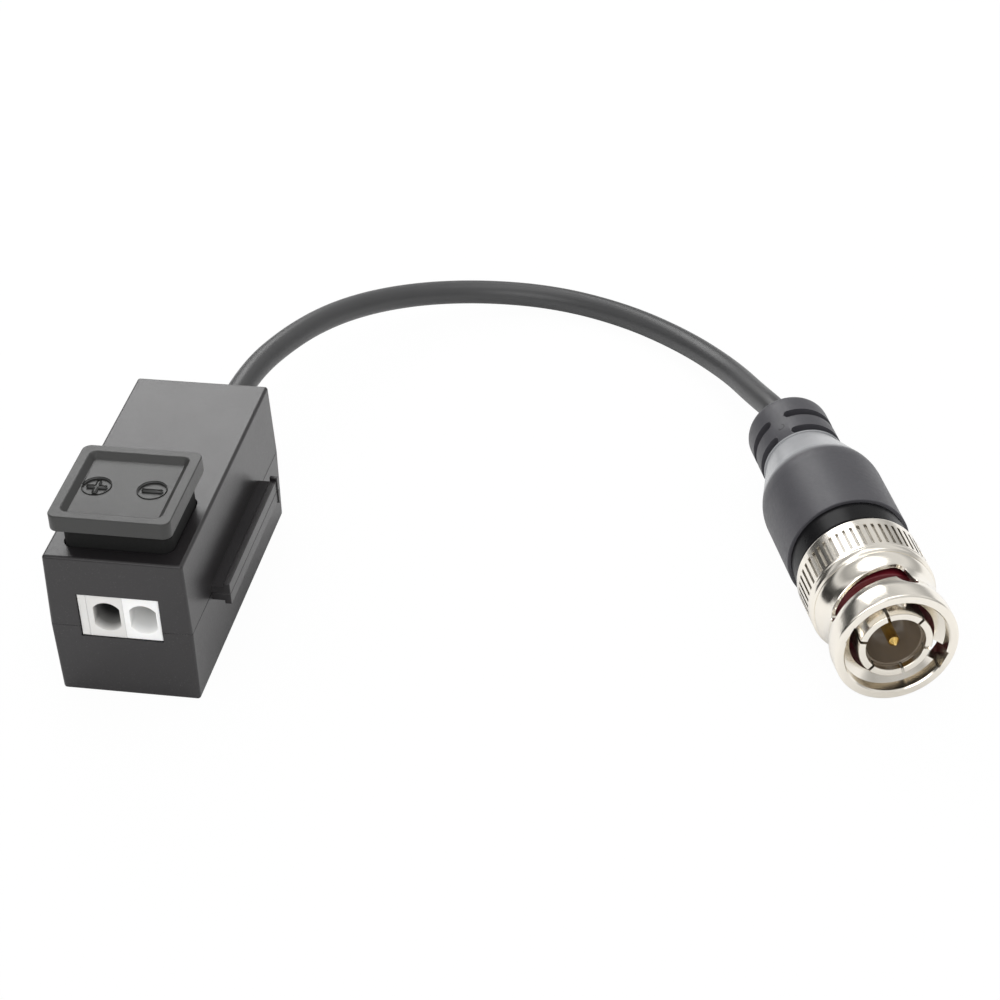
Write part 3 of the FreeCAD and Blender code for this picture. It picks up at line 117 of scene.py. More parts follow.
class PlugSettings(bpy.types.PropertyGroup):
    """Sizes and colours of the boot, the coupling nut and the contacts."""

    boot_colour: FloatVectorProperty(name="Boot", description="Colour of the moulded boot", subtype="COLOR",
                                     default=(0.052, 0.051, 0.058))
    nickel_colour: FloatVectorProperty(name="Nickel", description="Colour of the nickel plating", subtype="COLOR",
                                       default=(0.86, 0.815, 0.735))
    gold_colour: FloatVectorProperty(name="Gold", description="Colour of the gold plating", subtype="COLOR",
                                     default=(0.86, 0.60, 0.20))
    boot_radius: FloatProperty(name="Boot radius", description="Radius of the boot's body", unit="LENGTH",
                               default=7.45 * MM)
    nut_radius: FloatProperty(name="Nut radius", description="Radius of the knurled band", unit="LENGTH",
                              default=7.45 * MM)
    rim_radius: FloatProperty(name="Rim radius", description="Outer radius of the nut's rim", unit="LENGTH",
                              default=7.25 * MM)
    waist_radius: FloatProperty(name="Waist radius", description="Radius of the nut's waist", unit="LENGTH",
                                default=6.62 * MM)
    # Painted sheen: the cone's paler colour stands in for the highlight on its polish.
    cone_sheen_colour: FloatVectorProperty(name="Cone", description="Colour of the boot's polished cone",
                                     subtype="COLOR", default=(0.31, 0.315, 0.325))
    knurls: IntProperty(name="Knurls", description="Number of grooves round the nut", default=54)
    knurl_depth: FloatProperty(name="Knurl depth", description="Depth of each groove", unit="LENGTH",
                               default=0.28 * MM)
    slot_width: FloatProperty(name="Slot width", description="Width of the bayonet slots", unit="LENGTH",
                              default=2.2 * MM)


class CordSettings(bpy.types.PropertyGroup):
    """Size and colour of the cord and of its strain relief."""

    colour: FloatVectorProperty(name="Jacket", description="Colour of the cord's jacket", subtype="COLOR",
                                default=(0.040, 0.040, 0.041))
    diameter: FloatProperty(name="Diameter", description="Diameter of the cord", unit="LENGTH", default=3.2 * MM)


class StageSettings(bpy.types.PropertyGroup):
    """Light on the part and the floor that it stands on."""

    floor: FloatProperty(name="Floor", description="Side of the floor", unit="LENGTH", default=3.0)
    back: FloatProperty(name="Back light", description="Power of the light behind on the left", unit="POWER",
                        default=0.35)
    top: FloatProperty(name="Top light", description="Power of the light above", unit="POWER", default=0.9)
    front: FloatProperty(name="Front light", description="Power of the light over the camera", unit="POWER",
                         default=1.5)
    ambient: FloatProperty(name="Ambient", description="Level of the light from all round", default=0.8)


class Signal:
    """A socket's value in a node tree, on which arithmetic adds the Math nodes."""

    def __init__(self, tree, socket):
        self.tree, self.socket = tree, socket

    def maths(self, operation, *values):
        node = self.tree.nodes.new("ShaderNodeMath")
        node.operation = operation
        for inlet, value in zip(node.inputs, values):
            attach(self.tree, inlet, value)
        return Signal(self.tree, node.outputs[0])

    def __add__(self, other):
        return self.maths("ADD", self, other)

    __radd__ = __add__

    def __sub__(self, other):
        return self.maths("SUBTRACT", self, other)

    def __rsub__(self, other):
        return self.maths("SUBTRACT", other, self)

    def __mul__(self, other):
        return self.maths("MULTIPLY", self, other)

    __rmul__ = __mul__

    def __truediv__(self, other):
        return self.maths("DIVIDE", self, other)

    def __gt__(self, other):
        return self.maths("GREATER_THAN", self, other)

    def __lt__(self, other):
        return self.maths("LESS_THAN", self, other)

    def __pow__(self, other):
        return self.maths("POWER", self, other)


def attach(tree, inlet, value):
    """Links a signal to a socket, or sets the socket to a plain value."""
    if isinstance(value, Signal):
        tree.links.new(value.socket, inlet)
    elif isinstance(value, (tuple, list)) and len(value) == 3 and inlet.type == "RGBA":
        inlet.default_value = (*value, 1)
    elif hasattr(value, "__len__") and inlet.type == "RGBA":
        inlet.default_value = (*value[:3], 1)
    else:
        inlet.default_value = value


class Finish:
    """A material or the world, built node by node."""

    def __init__(self, owner):
        owner.use_nodes = True
        self.tree = owner.node_tree
        self.tree.nodes.clear()

    def add(self, kind, settings=None, inlets=None, outlet=0):
        """Adds a node of a kind, sets it up, then gives its sockets their values or links."""
        node = self.tree.nodes.new("ShaderNode" + kind)
        for title, value in (settings or {}).items():
            if title == "stops":
                self.set_stops(node.color_ramp, value)
            else:
                setattr(node, title, value)
        for title, value in (inlets or {}).items():
            attach(self.tree, node.inputs[title], value)
        return Signal(self.tree, node.outputs[outlet]) if node.outputs else None

    @staticmethod
    def set_stops(ramp, stops):
        while len(ramp.elements) < len(stops):
            ramp.elements.new(1)
        for element, (position, shade) in zip(ramp.elements, stops):
            element.position = position
            element.color = (shade, shade, shade, 1) if isinstance(shade, (int, float)) else (*shade, 1)

    def place(self, matrix=None):
        """Object coordinates, or those of a frame whose matrix is given."""
        here = self.add("TexCoord", outlet="Object")
        if matrix is None:
            return here
        back = matrix.inverted()
        return self.add("Mapping", {"vector_type": "POINT"}, {
            "Vector": here, "Location": back.to_translation(), "Rotation": back.to_euler(),
        })

    def parts(self, vector):
        node = self.tree.nodes.new("ShaderNodeSeparateXYZ")
        attach(self.tree, node.inputs[0], vector)
        return [Signal(self.tree, outlet) for outlet in node.outputs]

    def cloud(self, place, size, detail=2.0, rough=0.5):
        """Soft noise from 0 to 1 with features of about the size given, in metres."""
        return self.add("TexNoise", {}, {"Vector": place, "Scale": 1 / size, "Detail": detail, "Roughness": rough})

    def stretched(self, place, sizes, detail=2.0):
        """Noise whose features have a size of their own along each axis."""
        scaled = self.add("Mapping", {"vector_type": "POINT"}, {
            "Vector": place, "Scale": tuple(1 / size for size in sizes),
        })
        return self.add("TexNoise", {}, {"Vector": scaled, "Scale": 1.0, "Detail": detail})

    def ramp(self, value, *stops):
        return self.add("ValToRGB", {"stops": stops}, {"Fac": value})

    def mix(self, share, first, second):
        node = self.tree.nodes.new("ShaderNodeMix")
        node.data_type = "RGBA"
        attach(self.tree, node.inputs[0], share)
        attach(self.tree, node.inputs[6], first)
        attach(self.tree, node.inputs[7], second)
        return Signal(self.tree, node.outputs[2])

    def bump(self, height, depth, strength=1.0, under=None):
        inlets = {"Height": height, "Distance": depth, "Strength": strength}
        if under:
            inlets["Normal"] = under
        return self.add("Bump", {}, inlets)

    def surface(self, **inlets):
        """The shader and the output, with sockets named by words such as base_color."""
        named = {title.replace("_", " ").title().replace("Ior", "IOR"): value for title, value in inlets.items()}
        shader = self.add("BsdfPrincipled", {}, named)
        self.add("OutputMaterial", {}, {"Surface": shader})


def shade(colour, factor):
    return tuple(channel * factor for channel in colour)


def new_finish(name):
    material = bpy.data.materials.new(name)
    return material, Finish(material)


def moulded_plastic(name, colour, roughness, grain, depth, gloss=0.5):
    """Textured moulding: a fine sparked grain, faint flow clouds and a rub of shine on some spots."""
    material, finish = new_finish(name)
    place = finish.place()
    flow = finish.cloud(place, 6 * MM, 3)
    fine = finish.cloud(place, grain, 2)
    coarse = finish.cloud(place, grain * 4, 3)
    tint = finish.mix(flow, shade(colour, 0.88), shade(colour, 1.12))
    relief = finish.bump(fine * 0.6 + coarse * 0.4, depth)
    finish.surface(
        base_color=tint, roughness=roughness + (coarse - 0.5) * 0.12 + (flow - 0.5) * 0.08, normal=relief,
        specular_ior_level=gloss,
    )
    return material


def case_plastic(name, colour):
    """The satin black of the housing, with dark joint lines along the head of the stacking rail, and painted glints
    near the front.
    """
    material, finish = new_finish(name)
    place = finish.place()
    east, north, up = finish.parts(place)
    on_rail = (east > 9.6 * MM) * (north < 10.2 * MM)
    lift = up - SEAM
    top_line = ((east - 10.72 * MM).maths("ABSOLUTE") < 0.07 * MM) * (lift > 1.3 * MM)
    face_line = ((lift - 1.3 * MM).maths("ABSOLUTE") < 0.06 * MM) * (east > 10.85 * MM)
    line = on_rail * top_line.maths("MAXIMUM", top_line, face_line)
    flow = finish.cloud(place, 6 * MM, 3)
    fine = finish.cloud(place, 0.09 * MM, 2)
    coarse = finish.cloud(place, 0.36 * MM, 3)
    # Painted glints: pale dots in the colour near the front stand in for the sparkle of the grain; they also raise the
    # bump.
    glint_specks = finish.ramp(finish.cloud(place, 0.16 * MM, 1), (0.66, 0.0), (0.74, 1.0))
    near_front = finish.ramp((north + CASE_HALF_LENGTH) / (9 * MM), (0.0, 1.0), (1.0, 0.0))
    tint = finish.mix(flow, shade(colour, 0.88), shade(colour, 1.12))
    tint = finish.mix(glint_specks * near_front * 0.35, tint, shade(colour, 4.5))
    tint = finish.mix(line * 0.85, tint, shade(colour, 0.15))
    roughness = 0.31 + (coarse - 0.5) * 0.10 + (flow - 0.5) * 0.06 + line * 0.3
    relief = finish.bump(fine * 0.5 + coarse * 0.3 + glint_specks * near_front * 0.4 - line * 2, 0.012 * MM)
    finish.surface(base_color=tint, roughness=roughness, normal=relief, specular_ior_level=0.5)
    return material


def button_finish(name, colour):
    """The button's textured plastic, dull on the plunger below the cap, where painted shade makes it nearly black."""
    material, finish = new_finish(name)
    place = finish.place()
    up = finish.parts(place)[2]
    plunger = up < CAP_BOTTOM - 0.02 * MM
    flow = finish.cloud(place, 6 * MM, 3)
    fine = finish.cloud(place, 0.08 * MM, 2)
    coarse = finish.cloud(place, 0.32 * MM, 3)
    tint = finish.mix(flow, shade(colour, 0.88), shade(colour, 1.12))
    # Painted shade: below the cap the colour is mixed nearly to black.
    tint = finish.mix(plunger * 0.92, tint, (0, 0, 0))
    roughness = 0.40 + (coarse - 0.5) * 0.12 + (flow - 0.5) * 0.08 + plunger * 0.5
    finish.surface(base_color=tint, roughness=roughness, normal=finish.bump(fine * 0.6 + coarse * 0.4, 0.010 * MM))
    return material


def terminal_plastic(name, colour, roughness, front=None, depth_shade=1.0, reach=2.6 * MM):
    """Pale glass-filled nylon that lets a little light in, with painted shade that darkens it with the depth behind a
    front face.
    """
    material, finish = new_finish(name)
    place = finish.place()
    flow = finish.cloud(place, 3 * MM, 3)
    fine = finish.cloud(place, 0.12 * MM, 2)
    tint = finish.mix(flow, shade(colour, 0.94), shade(colour, 1.03))
    if front is not None:
        along = finish.parts(place)[1]
        # Painted shade: the colour darkens with the depth into the wire holes behind the front face.
        inside = finish.ramp((along - front) / reach, (0.04, 0.0), (0.45, 0.75), (1.0, 1.0))
        tint = finish.mix(inside, tint, shade(colour, depth_shade))
    finish.surface(
        base_color=tint, roughness=roughness + (flow - 0.5) * 0.12, normal=finish.bump(fine, 0.006 * MM),
        subsurface_weight=0.25, subsurface_scale=0.6 * MM, subsurface_radius=(1.0, 0.9, 0.8),
    )
    return material


def soft_vinyl(name, colour, roughness, grain=0.09 * MM, depth=0.008 * MM, gloss=0.5):
    """Soft moulded vinyl: smooth, with a slight mottle and a few dull patches."""
    material, finish = new_finish(name)
    place = finish.place()
    mottle = finish.cloud(place, 0.35 * MM, 3)
    flow = finish.cloud(place, 5 * MM, 2)
    fine = finish.cloud(place, grain, 2)
    tint = finish.mix(flow, shade(colour, 0.9), shade(colour, 1.1))
    finish.surface(
        base_color=tint, roughness=roughness + (mottle - 0.5) * 0.14 + (flow - 0.5) * 0.12,
        normal=finish.bump(fine * 0.5 + mottle * 0.5, depth), specular_ior_level=gloss,
    )
    return material


PARTING_ANGLE, PARTING_WIDTH, PARTING_END = math.radians(-32), 0.05 * MM, 34.5 * MM
MARK_ANGLE, MARK_PLACE = math.radians(-28), 39.5 * MM


def boot_vinyl(name, colour, cone_sheen_colour):
    """The boot: mottled on its body, polished on the cone, whose paler colour is a painted sheen, with its parting line
    and a moulded crescent darkened by painted shade.
    """
    material, finish = new_finish(name)
    place = finish.place(PLUG)
    up, side, behind = finish.parts(place)
    cone = finish.ramp((behind - 30.2 * MM) / (1.4 * MM), (0.0, 0.0), (1.0, 1.0)) * (behind < 37.22 * MM)
    beside_line = side * math.cos(PARTING_ANGLE) - up * math.sin(PARTING_ANGLE)
    line = (beside_line.maths("ABSOLUTE") < PARTING_WIDTH) * (up > 0) * (behind < PARTING_END)
    across = side * math.cos(MARK_ANGLE) - up * math.sin(MARK_ANGLE)
    along = behind - MARK_PLACE
    reach = (across * across + along * along) ** 0.5
    crescent_shade = (reach > 0.34 * MM) * (reach < 0.50 * MM) * (up > 0) * (across - along > -0.15 * MM)
    mottle = finish.cloud(place, 0.5 * MM, 3, 0.6)
    fine = finish.cloud(place, 0.1 * MM, 2)
    flow = finish.cloud(place, 4 * MM, 2)
    body = finish.mix(flow, shade(colour, 0.88), shade(colour, 1.12))
    # Painted sheen: the cone takes a paler colour for the highlight on its polish.
    tint = finish.mix(cone, body, finish.mix(flow, shade(cone_sheen_colour, 0.86), shade(cone_sheen_colour, 1.14)))
    tint = finish.mix(line * 0.55, tint, shade(colour, 0.3))
    # Painted shade: the colour is darkened in the moulded crescent's dent, which the bump also sinks.
    tint = finish.mix(crescent_shade * 0.8, tint, shade(colour, 0.2))
    roughness = 0.46 + (mottle - 0.5) * 0.24 * (1 - cone) - cone * 0.20
    grain = (fine * 0.4 + mottle * 0.6) * (1 - cone * 0.85)
    finish.surface(base_color=tint, roughness=roughness, normal=finish.bump(grain - line * 1.5 - crescent_shade * 2, 0.02 * MM))
    return material


def plated_metal(name, colour, roughness, grooves=None, lathe=0.02 * MM, relief=0.0016 * MM, frame_matrix=PLUG):
    """Turned metal under bright plating: fine rings round its axis, and dull below a radius between two heights, where
    painted shade also darkens the colour.
    """
    material, finish = new_finish(name)
    place = finish.place(frame_matrix)
    across, along, up = finish.parts(place)
    radius = (across * across + along * along) ** 0.5
    ring_place = finish.add("CombineXYZ", {}, {"X": radius, "Y": 0.0, "Z": up})
    rings = finish.cloud(ring_place, lathe, 2)
    polish = finish.cloud(place, 1.6 * MM, 3)
    tint = finish.mix(polish, shade(colour, 0.95), shade(colour, 1.03))
    polish_roughness = roughness + (polish - 0.5) * 0.07 + (rings - 0.5) * 0.05
    if grooves:
        floor, front, back = grooves
        # Painted shade: the floors of the knurl grooves are darkened in the colour, as well as made rougher.
        dull = (radius < floor) * (radius > floor - 0.5 * MM) * (up > front) * (up < back)
        tint = finish.mix(dull * 0.7, tint, shade(colour, 0.12))
        polish_roughness = polish_roughness + dull * 0.15
    finish.surface(base_color=tint, metallic=1.0, roughness=polish_roughness, normal=finish.bump(rings, relief))
    return material


def sheet_metal(name, colour, roughness, metallic=1.0):
    """Rolled strip with a faint grain along its length."""
    material, finish = new_finish(name)
    place = finish.place()
    grain = finish.stretched(place, (0.03 * MM, 0.6 * MM, 0.03 * MM))
    tint = finish.mix(grain, shade(colour, 0.88), shade(colour, 1.05))
    finish.surface(base_color=tint, metallic=metallic, roughness=roughness + (grain - 0.5) * 0.15,
                   normal=finish.bump(grain, 0.003 * MM))
    return material


def laminate(name):
    """Green solder mask over a woven board, with tinned pads near the pieces."""
    material, finish = new_finish(name)
    place = finish.place()
    weave = finish.stretched(place, (0.5 * MM, 0.06 * MM, 0.5 * MM)) * 0.5 + \
        finish.stretched(place, (0.06 * MM, 0.5 * MM, 0.5 * MM)) * 0.5
    track = finish.cloud(place, 1.5 * MM, 0) > 0.55
    tint = finish.mix(track, (0.008, 0.075, 0.03), (0.02, 0.12, 0.045))
    finish.surface(base_color=tint, roughness=0.32 + (weave - 0.5) * 0.2, normal=finish.bump(weave, 0.008 * MM))
    return material


def fired_ceramic(name, colour, roughness):
    """Dense sintered material with pores."""
    material, finish = new_finish(name)
    place = finish.place()
    pores = finish.cloud(place, 0.15 * MM, 4, 0.7)
    tint = finish.mix(pores, shade(colour, 0.75), shade(colour, 1.25))
    finish.surface(base_color=tint, roughness=roughness + (pores - 0.5) * 0.2, normal=finish.bump(pores, 0.01 * MM))
    return material


def clear_selection():
    if bpy.context.mode != "OBJECT":
        bpy.ops.object.mode_set(mode="OBJECT")
    bpy.ops.object.select_all(action="DESELECT")


def take(piece):
    clear_selection()
    piece.select_set(True)
    bpy.context.view_layer.objects.active = piece


def edit(piece, mode="VERT"):
    take(piece)
    bpy.ops.object.mode_set(mode="EDIT")
    bpy.ops.mesh.select_mode(type=mode)


def leave_edit():
    bpy.ops.object.mode_set(mode="OBJECT")


def choose_faces(piece, rule):
    """In edit mode, selects the faces whose middle and normal follow a rule."""
    bpy.ops.mesh.select_mode(type="FACE")
    bpy.ops.mesh.select_all(action="DESELECT")
    mesh = bmesh.from_edit_mesh(piece.data)
    chosen = 0
    for face in mesh.faces:
        if rule(face.calc_center_median(), face.normal):
            face.select = True
            chosen += 1
    bmesh.update_edit_mesh(piece.data)
    if not chosen:
        raise RuntimeError(f"no face of {piece.name} follows the rule")


def choose_edges(piece, rule):
    """In edit mode, selects the folded edges whose middle, angle and length follow a rule."""
    bpy.ops.mesh.select_mode(type="EDGE")
    bpy.ops.mesh.select_all(action="DESELECT")
    mesh = bmesh.from_edit_mesh(piece.data)
    chosen = 0
    for edge in mesh.edges:
        if len(edge.link_faces) != 2:
            continue
        middle = (edge.verts[0].co + edge.verts[1].co) / 2
        if rule(middle, edge.calc_face_angle_signed(0), edge.calc_length()):
            edge.select = True
            chosen += 1
    bmesh.update_edit_mesh(piece.data)
    return chosen


def add_modifier(piece, kind, **settings):
    modifier = piece.modifiers.new(kind.title(), kind)
    for title, value in settings.items():
        setattr(modifier, title, value)
    take(piece)
    bpy.ops.object.modifier_apply(modifier=modifier.name)


def smooth(piece, degrees=30, weighted=True):
    take(piece)
    bpy.ops.object.shade_smooth_by_angle(angle=math.radians(degrees))
    if weighted:
        add_modifier(piece, "WEIGHTED_NORMAL", keep_sharp=True, weight=80)


def give(piece, material, slot, body, *nodes):
    """Gives a finished piece its material and body, and hides the CAD nodes that it stands for. The slot is not used.
    """
    piece.data.materials.clear()
    piece.data.materials.append(material)
    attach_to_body(piece, body)
    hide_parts(*nodes)
    return piece


def whole_copy(node, name):
    """A copy of a CAD piece whose loose triangles are joined and whose flat faces are whole."""
    piece = bpy.data.objects.new(name, NODES[node].data.copy())
    bpy.context.scene.collection.objects.link(piece)
    take(piece)
    bpy.ops.mesh.customdata_custom_splitnormals_clear()
    edit(piece)
    bpy.ops.mesh.select_all(action="SELECT")
    bpy.ops.mesh.remove_doubles(threshold=MERGE)
    bpy.ops.mesh.dissolve_limited(angle_limit=math.radians(0.6))
    leave_edit()
    return piece


def soften(piece, width, rule, segments=3):
    """Rounds the edges that follow a rule."""
    edit(piece)
    if choose_edges(piece, rule):
        bpy.ops.transform.edge_bevelweight(value=1.0)
    leave_edit()
    add_modifier(piece, "BEVEL", width=width, segments=segments, limit_method="WEIGHT", use_clamp_overlap=False,
                 loop_slide=True)


def draw_profile(name, points):
    """Draws a profile of (radius, height) points by extruding one vertex from point to point."""
    clear_selection()
    bpy.ops.mesh.primitive_plane_add(size=MM)
    piece = bpy.context.object
    piece.name = name
    piece.data.name = name
    edit(piece)
    bpy.ops.mesh.select_all(action="SELECT")
    bpy.ops.mesh.merge(type="CENTER")
    places = [Vector((radius, 0, height)) for radius, height in points]
    bpy.ops.transform.translate(value=places[0])
    for start, end in zip(places, places[1:]):
        bpy.ops.mesh.extrude_region_move(TRANSFORM_OT_translate={"value": end - start})
    return piece


def spin_profile(name, points, steps, closed=True):
    """Turns a profile round the Z axis into a closed solid, left in edit mode."""
    piece = draw_profile(name, list(points) + [points[0]] if closed else points)
    bpy.ops.mesh.select_all(action="SELECT")
    bpy.ops.mesh.remove_doubles(threshold=MERGE)
    bpy.ops.mesh.select_all(action="SELECT")
    bpy.ops.mesh.spin(steps=steps, angle=FULL_TURN, center=(0, 0, 0), axis=(0, 0, 1))
    bpy.ops.mesh.select_all(action="SELECT")
    bpy.ops.mesh.remove_doubles(threshold=MERGE)
    bpy.ops.mesh.normals_make_consistent(inside=False)
    return piece


def arc(centre, radius, start, end, count):
    """Points of an arc in a profile, between two angles in degrees from the radial direction."""
    points = []
    for number in range(count + 1):
        angle = math.radians(start + (end - start) * number / count)
        points.append((centre[0] + radius * math.cos(angle), centre[1] + radius * math.sin(angle)))
    return points


def wave(start, end, count):
    """Points of a soft S from one profile point to another, level at both ends."""
    points = []
    for number in range(1, count + 1):
        share = number / count
        level = share * share * (3 - 2 * share)
        points.append((start[0] + (end[0] - start[0]) * level, start[1] + (end[1] - start[1]) * share))
    return points


def angle_of(place):
    """Angle round the plug's axis in degrees, from up towards the side."""
    return math.degrees(math.atan2(place.y, place.x))


def away(angle, other):
    """How far apart two angles in degrees are."""
    return abs((angle - other + 180) % 360 - 180)


def lay_in_plug(piece):
    """Moves a piece made on the upright axis to where the plug lies."""
    take(piece)
    piece.matrix_world = PLUG
    bpy.ops.object.transform_apply(location=True, rotation=True, scale=True)


def cut_with(piece, cutter):
    modifier = piece.modifiers.new("Cut", "BOOLEAN")
    modifier.operation = "DIFFERENCE"
    modifier.solver = "EXACT"
    modifier.object = cutter
    take(piece)
    bpy.ops.object.modifier_apply(modifier=modifier.name)
    bpy.data.objects.remove(cutter)


# Housing

CASE_HALF_WIDTH, CASE_HALF_LENGTH = 8.5 * MM, 18.8 * MM
CASE_WALL = 1.2 * MM
FOLD = math.radians(35)


def outside_case(place):
    """True for a place on the outside of the housing, and not in its hollow."""
    inner = CASE_WALL * 0.9
    return (abs(place.x) > CASE_HALF_WIDTH - inner - 0.4 * MM or abs(place.y) > CASE_HALF_LENGTH - inner - 0.4 * MM
            or place.z > 18.0 * MM or place.z < 1.2 * MM)


def dress_case_half(settings, node, name):
    piece = whole_copy(node, name)
    soften(piece, settings.edge, lambda middle, fold, length: fold > FOLD and outside_case(middle))
    smooth(piece)
    return piece


class BALUN_OT_housing(bpy.types.Operator):
    """Models the two halves of the housing with softened edges"""

    bl_idname = "balun.housing"
    bl_label = "Housing"

    def execute(self, context):
        settings = context.scene.balun_shell
        plastic = case_plastic("case plastic", settings.case_colour)
        for node, name in (("housing_bottom", "lower_shell"), ("housing_top", "upper_shell")):
            give(dress_case_half(settings, node, name), plastic, "case_plastic", "housing", node)
        return {"FINISHED"}


# Press button

CAP_BOTTOM, CAP_TOP = 22.4 * MM, 24.5 * MM
WELL_FLOOR = CAP_TOP - 0.65 * MM


class BALUN_OT_button(bpy.types.Operator):
    """Models the press button: a dished cap with a plus and a minus sign"""

    bl_idname = "balun.button"
    bl_label = "Press button"

    def execute(self, context):
        settings = context.scene.balun_shell
        piece = whole_copy("press_button", "button")
        soften(piece, settings.sign_edge, lambda middle, fold, length: fold > FOLD and self.on_sign(middle), 2)
        soften(piece, settings.button_edge, lambda middle, fold, length: fold > FOLD and self.on_cap(middle), 4)
        smooth(piece)
        plastic = button_finish("button plastic", settings.button_colour)
        give(piece, plastic, "button_plastic", "button", "press_button")
        return {"FINISHED"}

    @staticmethod
    def on_sign(place):
        return WELL_FLOOR - 0.25 * MM < place.z < WELL_FLOOR + 0.05 * MM and abs(place.x) < 5.2 * MM

    @staticmethod
    def on_cap(place):
        return place.z > CAP_TOP - 0.05 * MM or CAP_BOTTOM - 0.05 * MM < place.z < CAP_BOTTOM + 0.4 * MM


# Wire terminals

class BALUN_OT_terminals(bpy.types.Operator):
    """Models the two push-in terminals and the plate that closes their row"""

    bl_idname = "balun.terminals"
    bl_label = "Wire terminals"

    def execute(self, context):
        settings = context.scene.balun_shell
        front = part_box("terminal_positive")[0].y
        # The last number is the painted shade deep in each terminal's wire hole.
        grey = terminal_plastic("grey terminal plastic", settings.grey_colour, 0.42, front, 0.05)
        white = terminal_plastic("white terminal plastic", settings.white_colour, 0.40, front, 0.72)
        pieces = (
            ("terminal_positive", "grey_terminal", grey, "grey_terminal_plastic"),
            ("terminal_negative", "white_terminal", white, "white_terminal_plastic"),
            ("terminal_end_plate", "end_plate", grey, "grey_terminal_plastic"),
        )
        for node, name, plastic, slot in pieces:
            piece = whole_copy(node, name)
            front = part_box(node)[0].y + 0.3 * MM
            soften(piece, settings.edge * 0.8, lambda middle, fold, length: fold > FOLD and middle.y < front)
            smooth(piece)
            give(piece, plastic, slot, "housing", node)
        return {"FINISHED"}


# Pieces inside the housing and the plug

class BALUN_OT_inside(bpy.types.Operator):
    """Gives the pieces inside the housing and the plug their materials"""

    bl_idname = "balun.inside"
    bl_label = "Inner pieces"

    def execute(self, context):
        plug = context.scene.balun_plug
        cord = context.scene.balun_cord
        steel = sheet_metal("spring steel", (0.56, 0.55, 0.53), 0.28)
        nickel = plated_metal("nickel of the body", plug.nickel_colour, 0.2)
        jacket = soft_vinyl("inner jacket", cord.colour, 0.5)
        finishes = (
            (steel, ("clamp_spring_positive", "clamp_spring_negative", "wave_washer", "thrust_washer", "snap_ring")),
            (sheet_metal("tinned copper", (0.78, 0.77, 0.74), 0.34), ("contact_bar_positive", "contact_bar_negative")),
            (laminate("board laminate"), ("circuit_board",)),
            (fired_ceramic("ferrite", (0.045, 0.043, 0.042), 0.5), ("balun_core",)),
            (sheet_metal("enamelled wire", (0.62, 0.20, 0.06), 0.22), ("balun_winding",)),
            (moulded_plastic("black component", (0.02, 0.02, 0.02), 0.5, 0.06 * MM, 0.006 * MM), ("surge_suppressor",)),
            (fired_ceramic("capacitor coating", (0.55, 0.24, 0.05), 0.3), ("filter_capacitor",)),
            (fired_ceramic("resistor ceramic", (0.12, 0.12, 0.13), 0.4), ("balance_resistor",)),
            (terminal_plastic("natural nylon", (0.72, 0.70, 0.62), 0.45), ("cord_clamp",)),
            (jacket, ("cord_end_in_housing", "cord_end_in_plug")),
            (nickel, ("plug_body", "crimp_ferrule")),
        )
        for material, names in finishes:
            for name in names:
                NODES[name].data.materials.clear()
                NODES[name].data.materials.append(material)
        return {"FINISHED"}


# Boot

BOOT_FRONT, BOOT_LIP, BOOT_END_HEIGHT = 15.6 * MM, 18.7 * MM, 45.9 * MM
SHOULDER_START, SHOULDER = 28.6 * MM, 31.0 * MM
FRONT_RADIUS, SHOULDER_RADIUS, NECK_RADIUS, COLLAR_RADIUS = 7.05 * MM, 7.0 * MM, 4.95 * MM, 5.15 * MM
GRIP_GROOVES = (37.2 * MM, 40.7 * MM)
GROOVE_WIDTH, GROOVE_DEPTH = 1.3 * MM, 0.85 * MM
GROOVE_RIB, GROOVE_RIB_ANGLE, GROOVE_RINGS = 1.8 * MM, -28.0, 72
BOOT_STEPS = 240


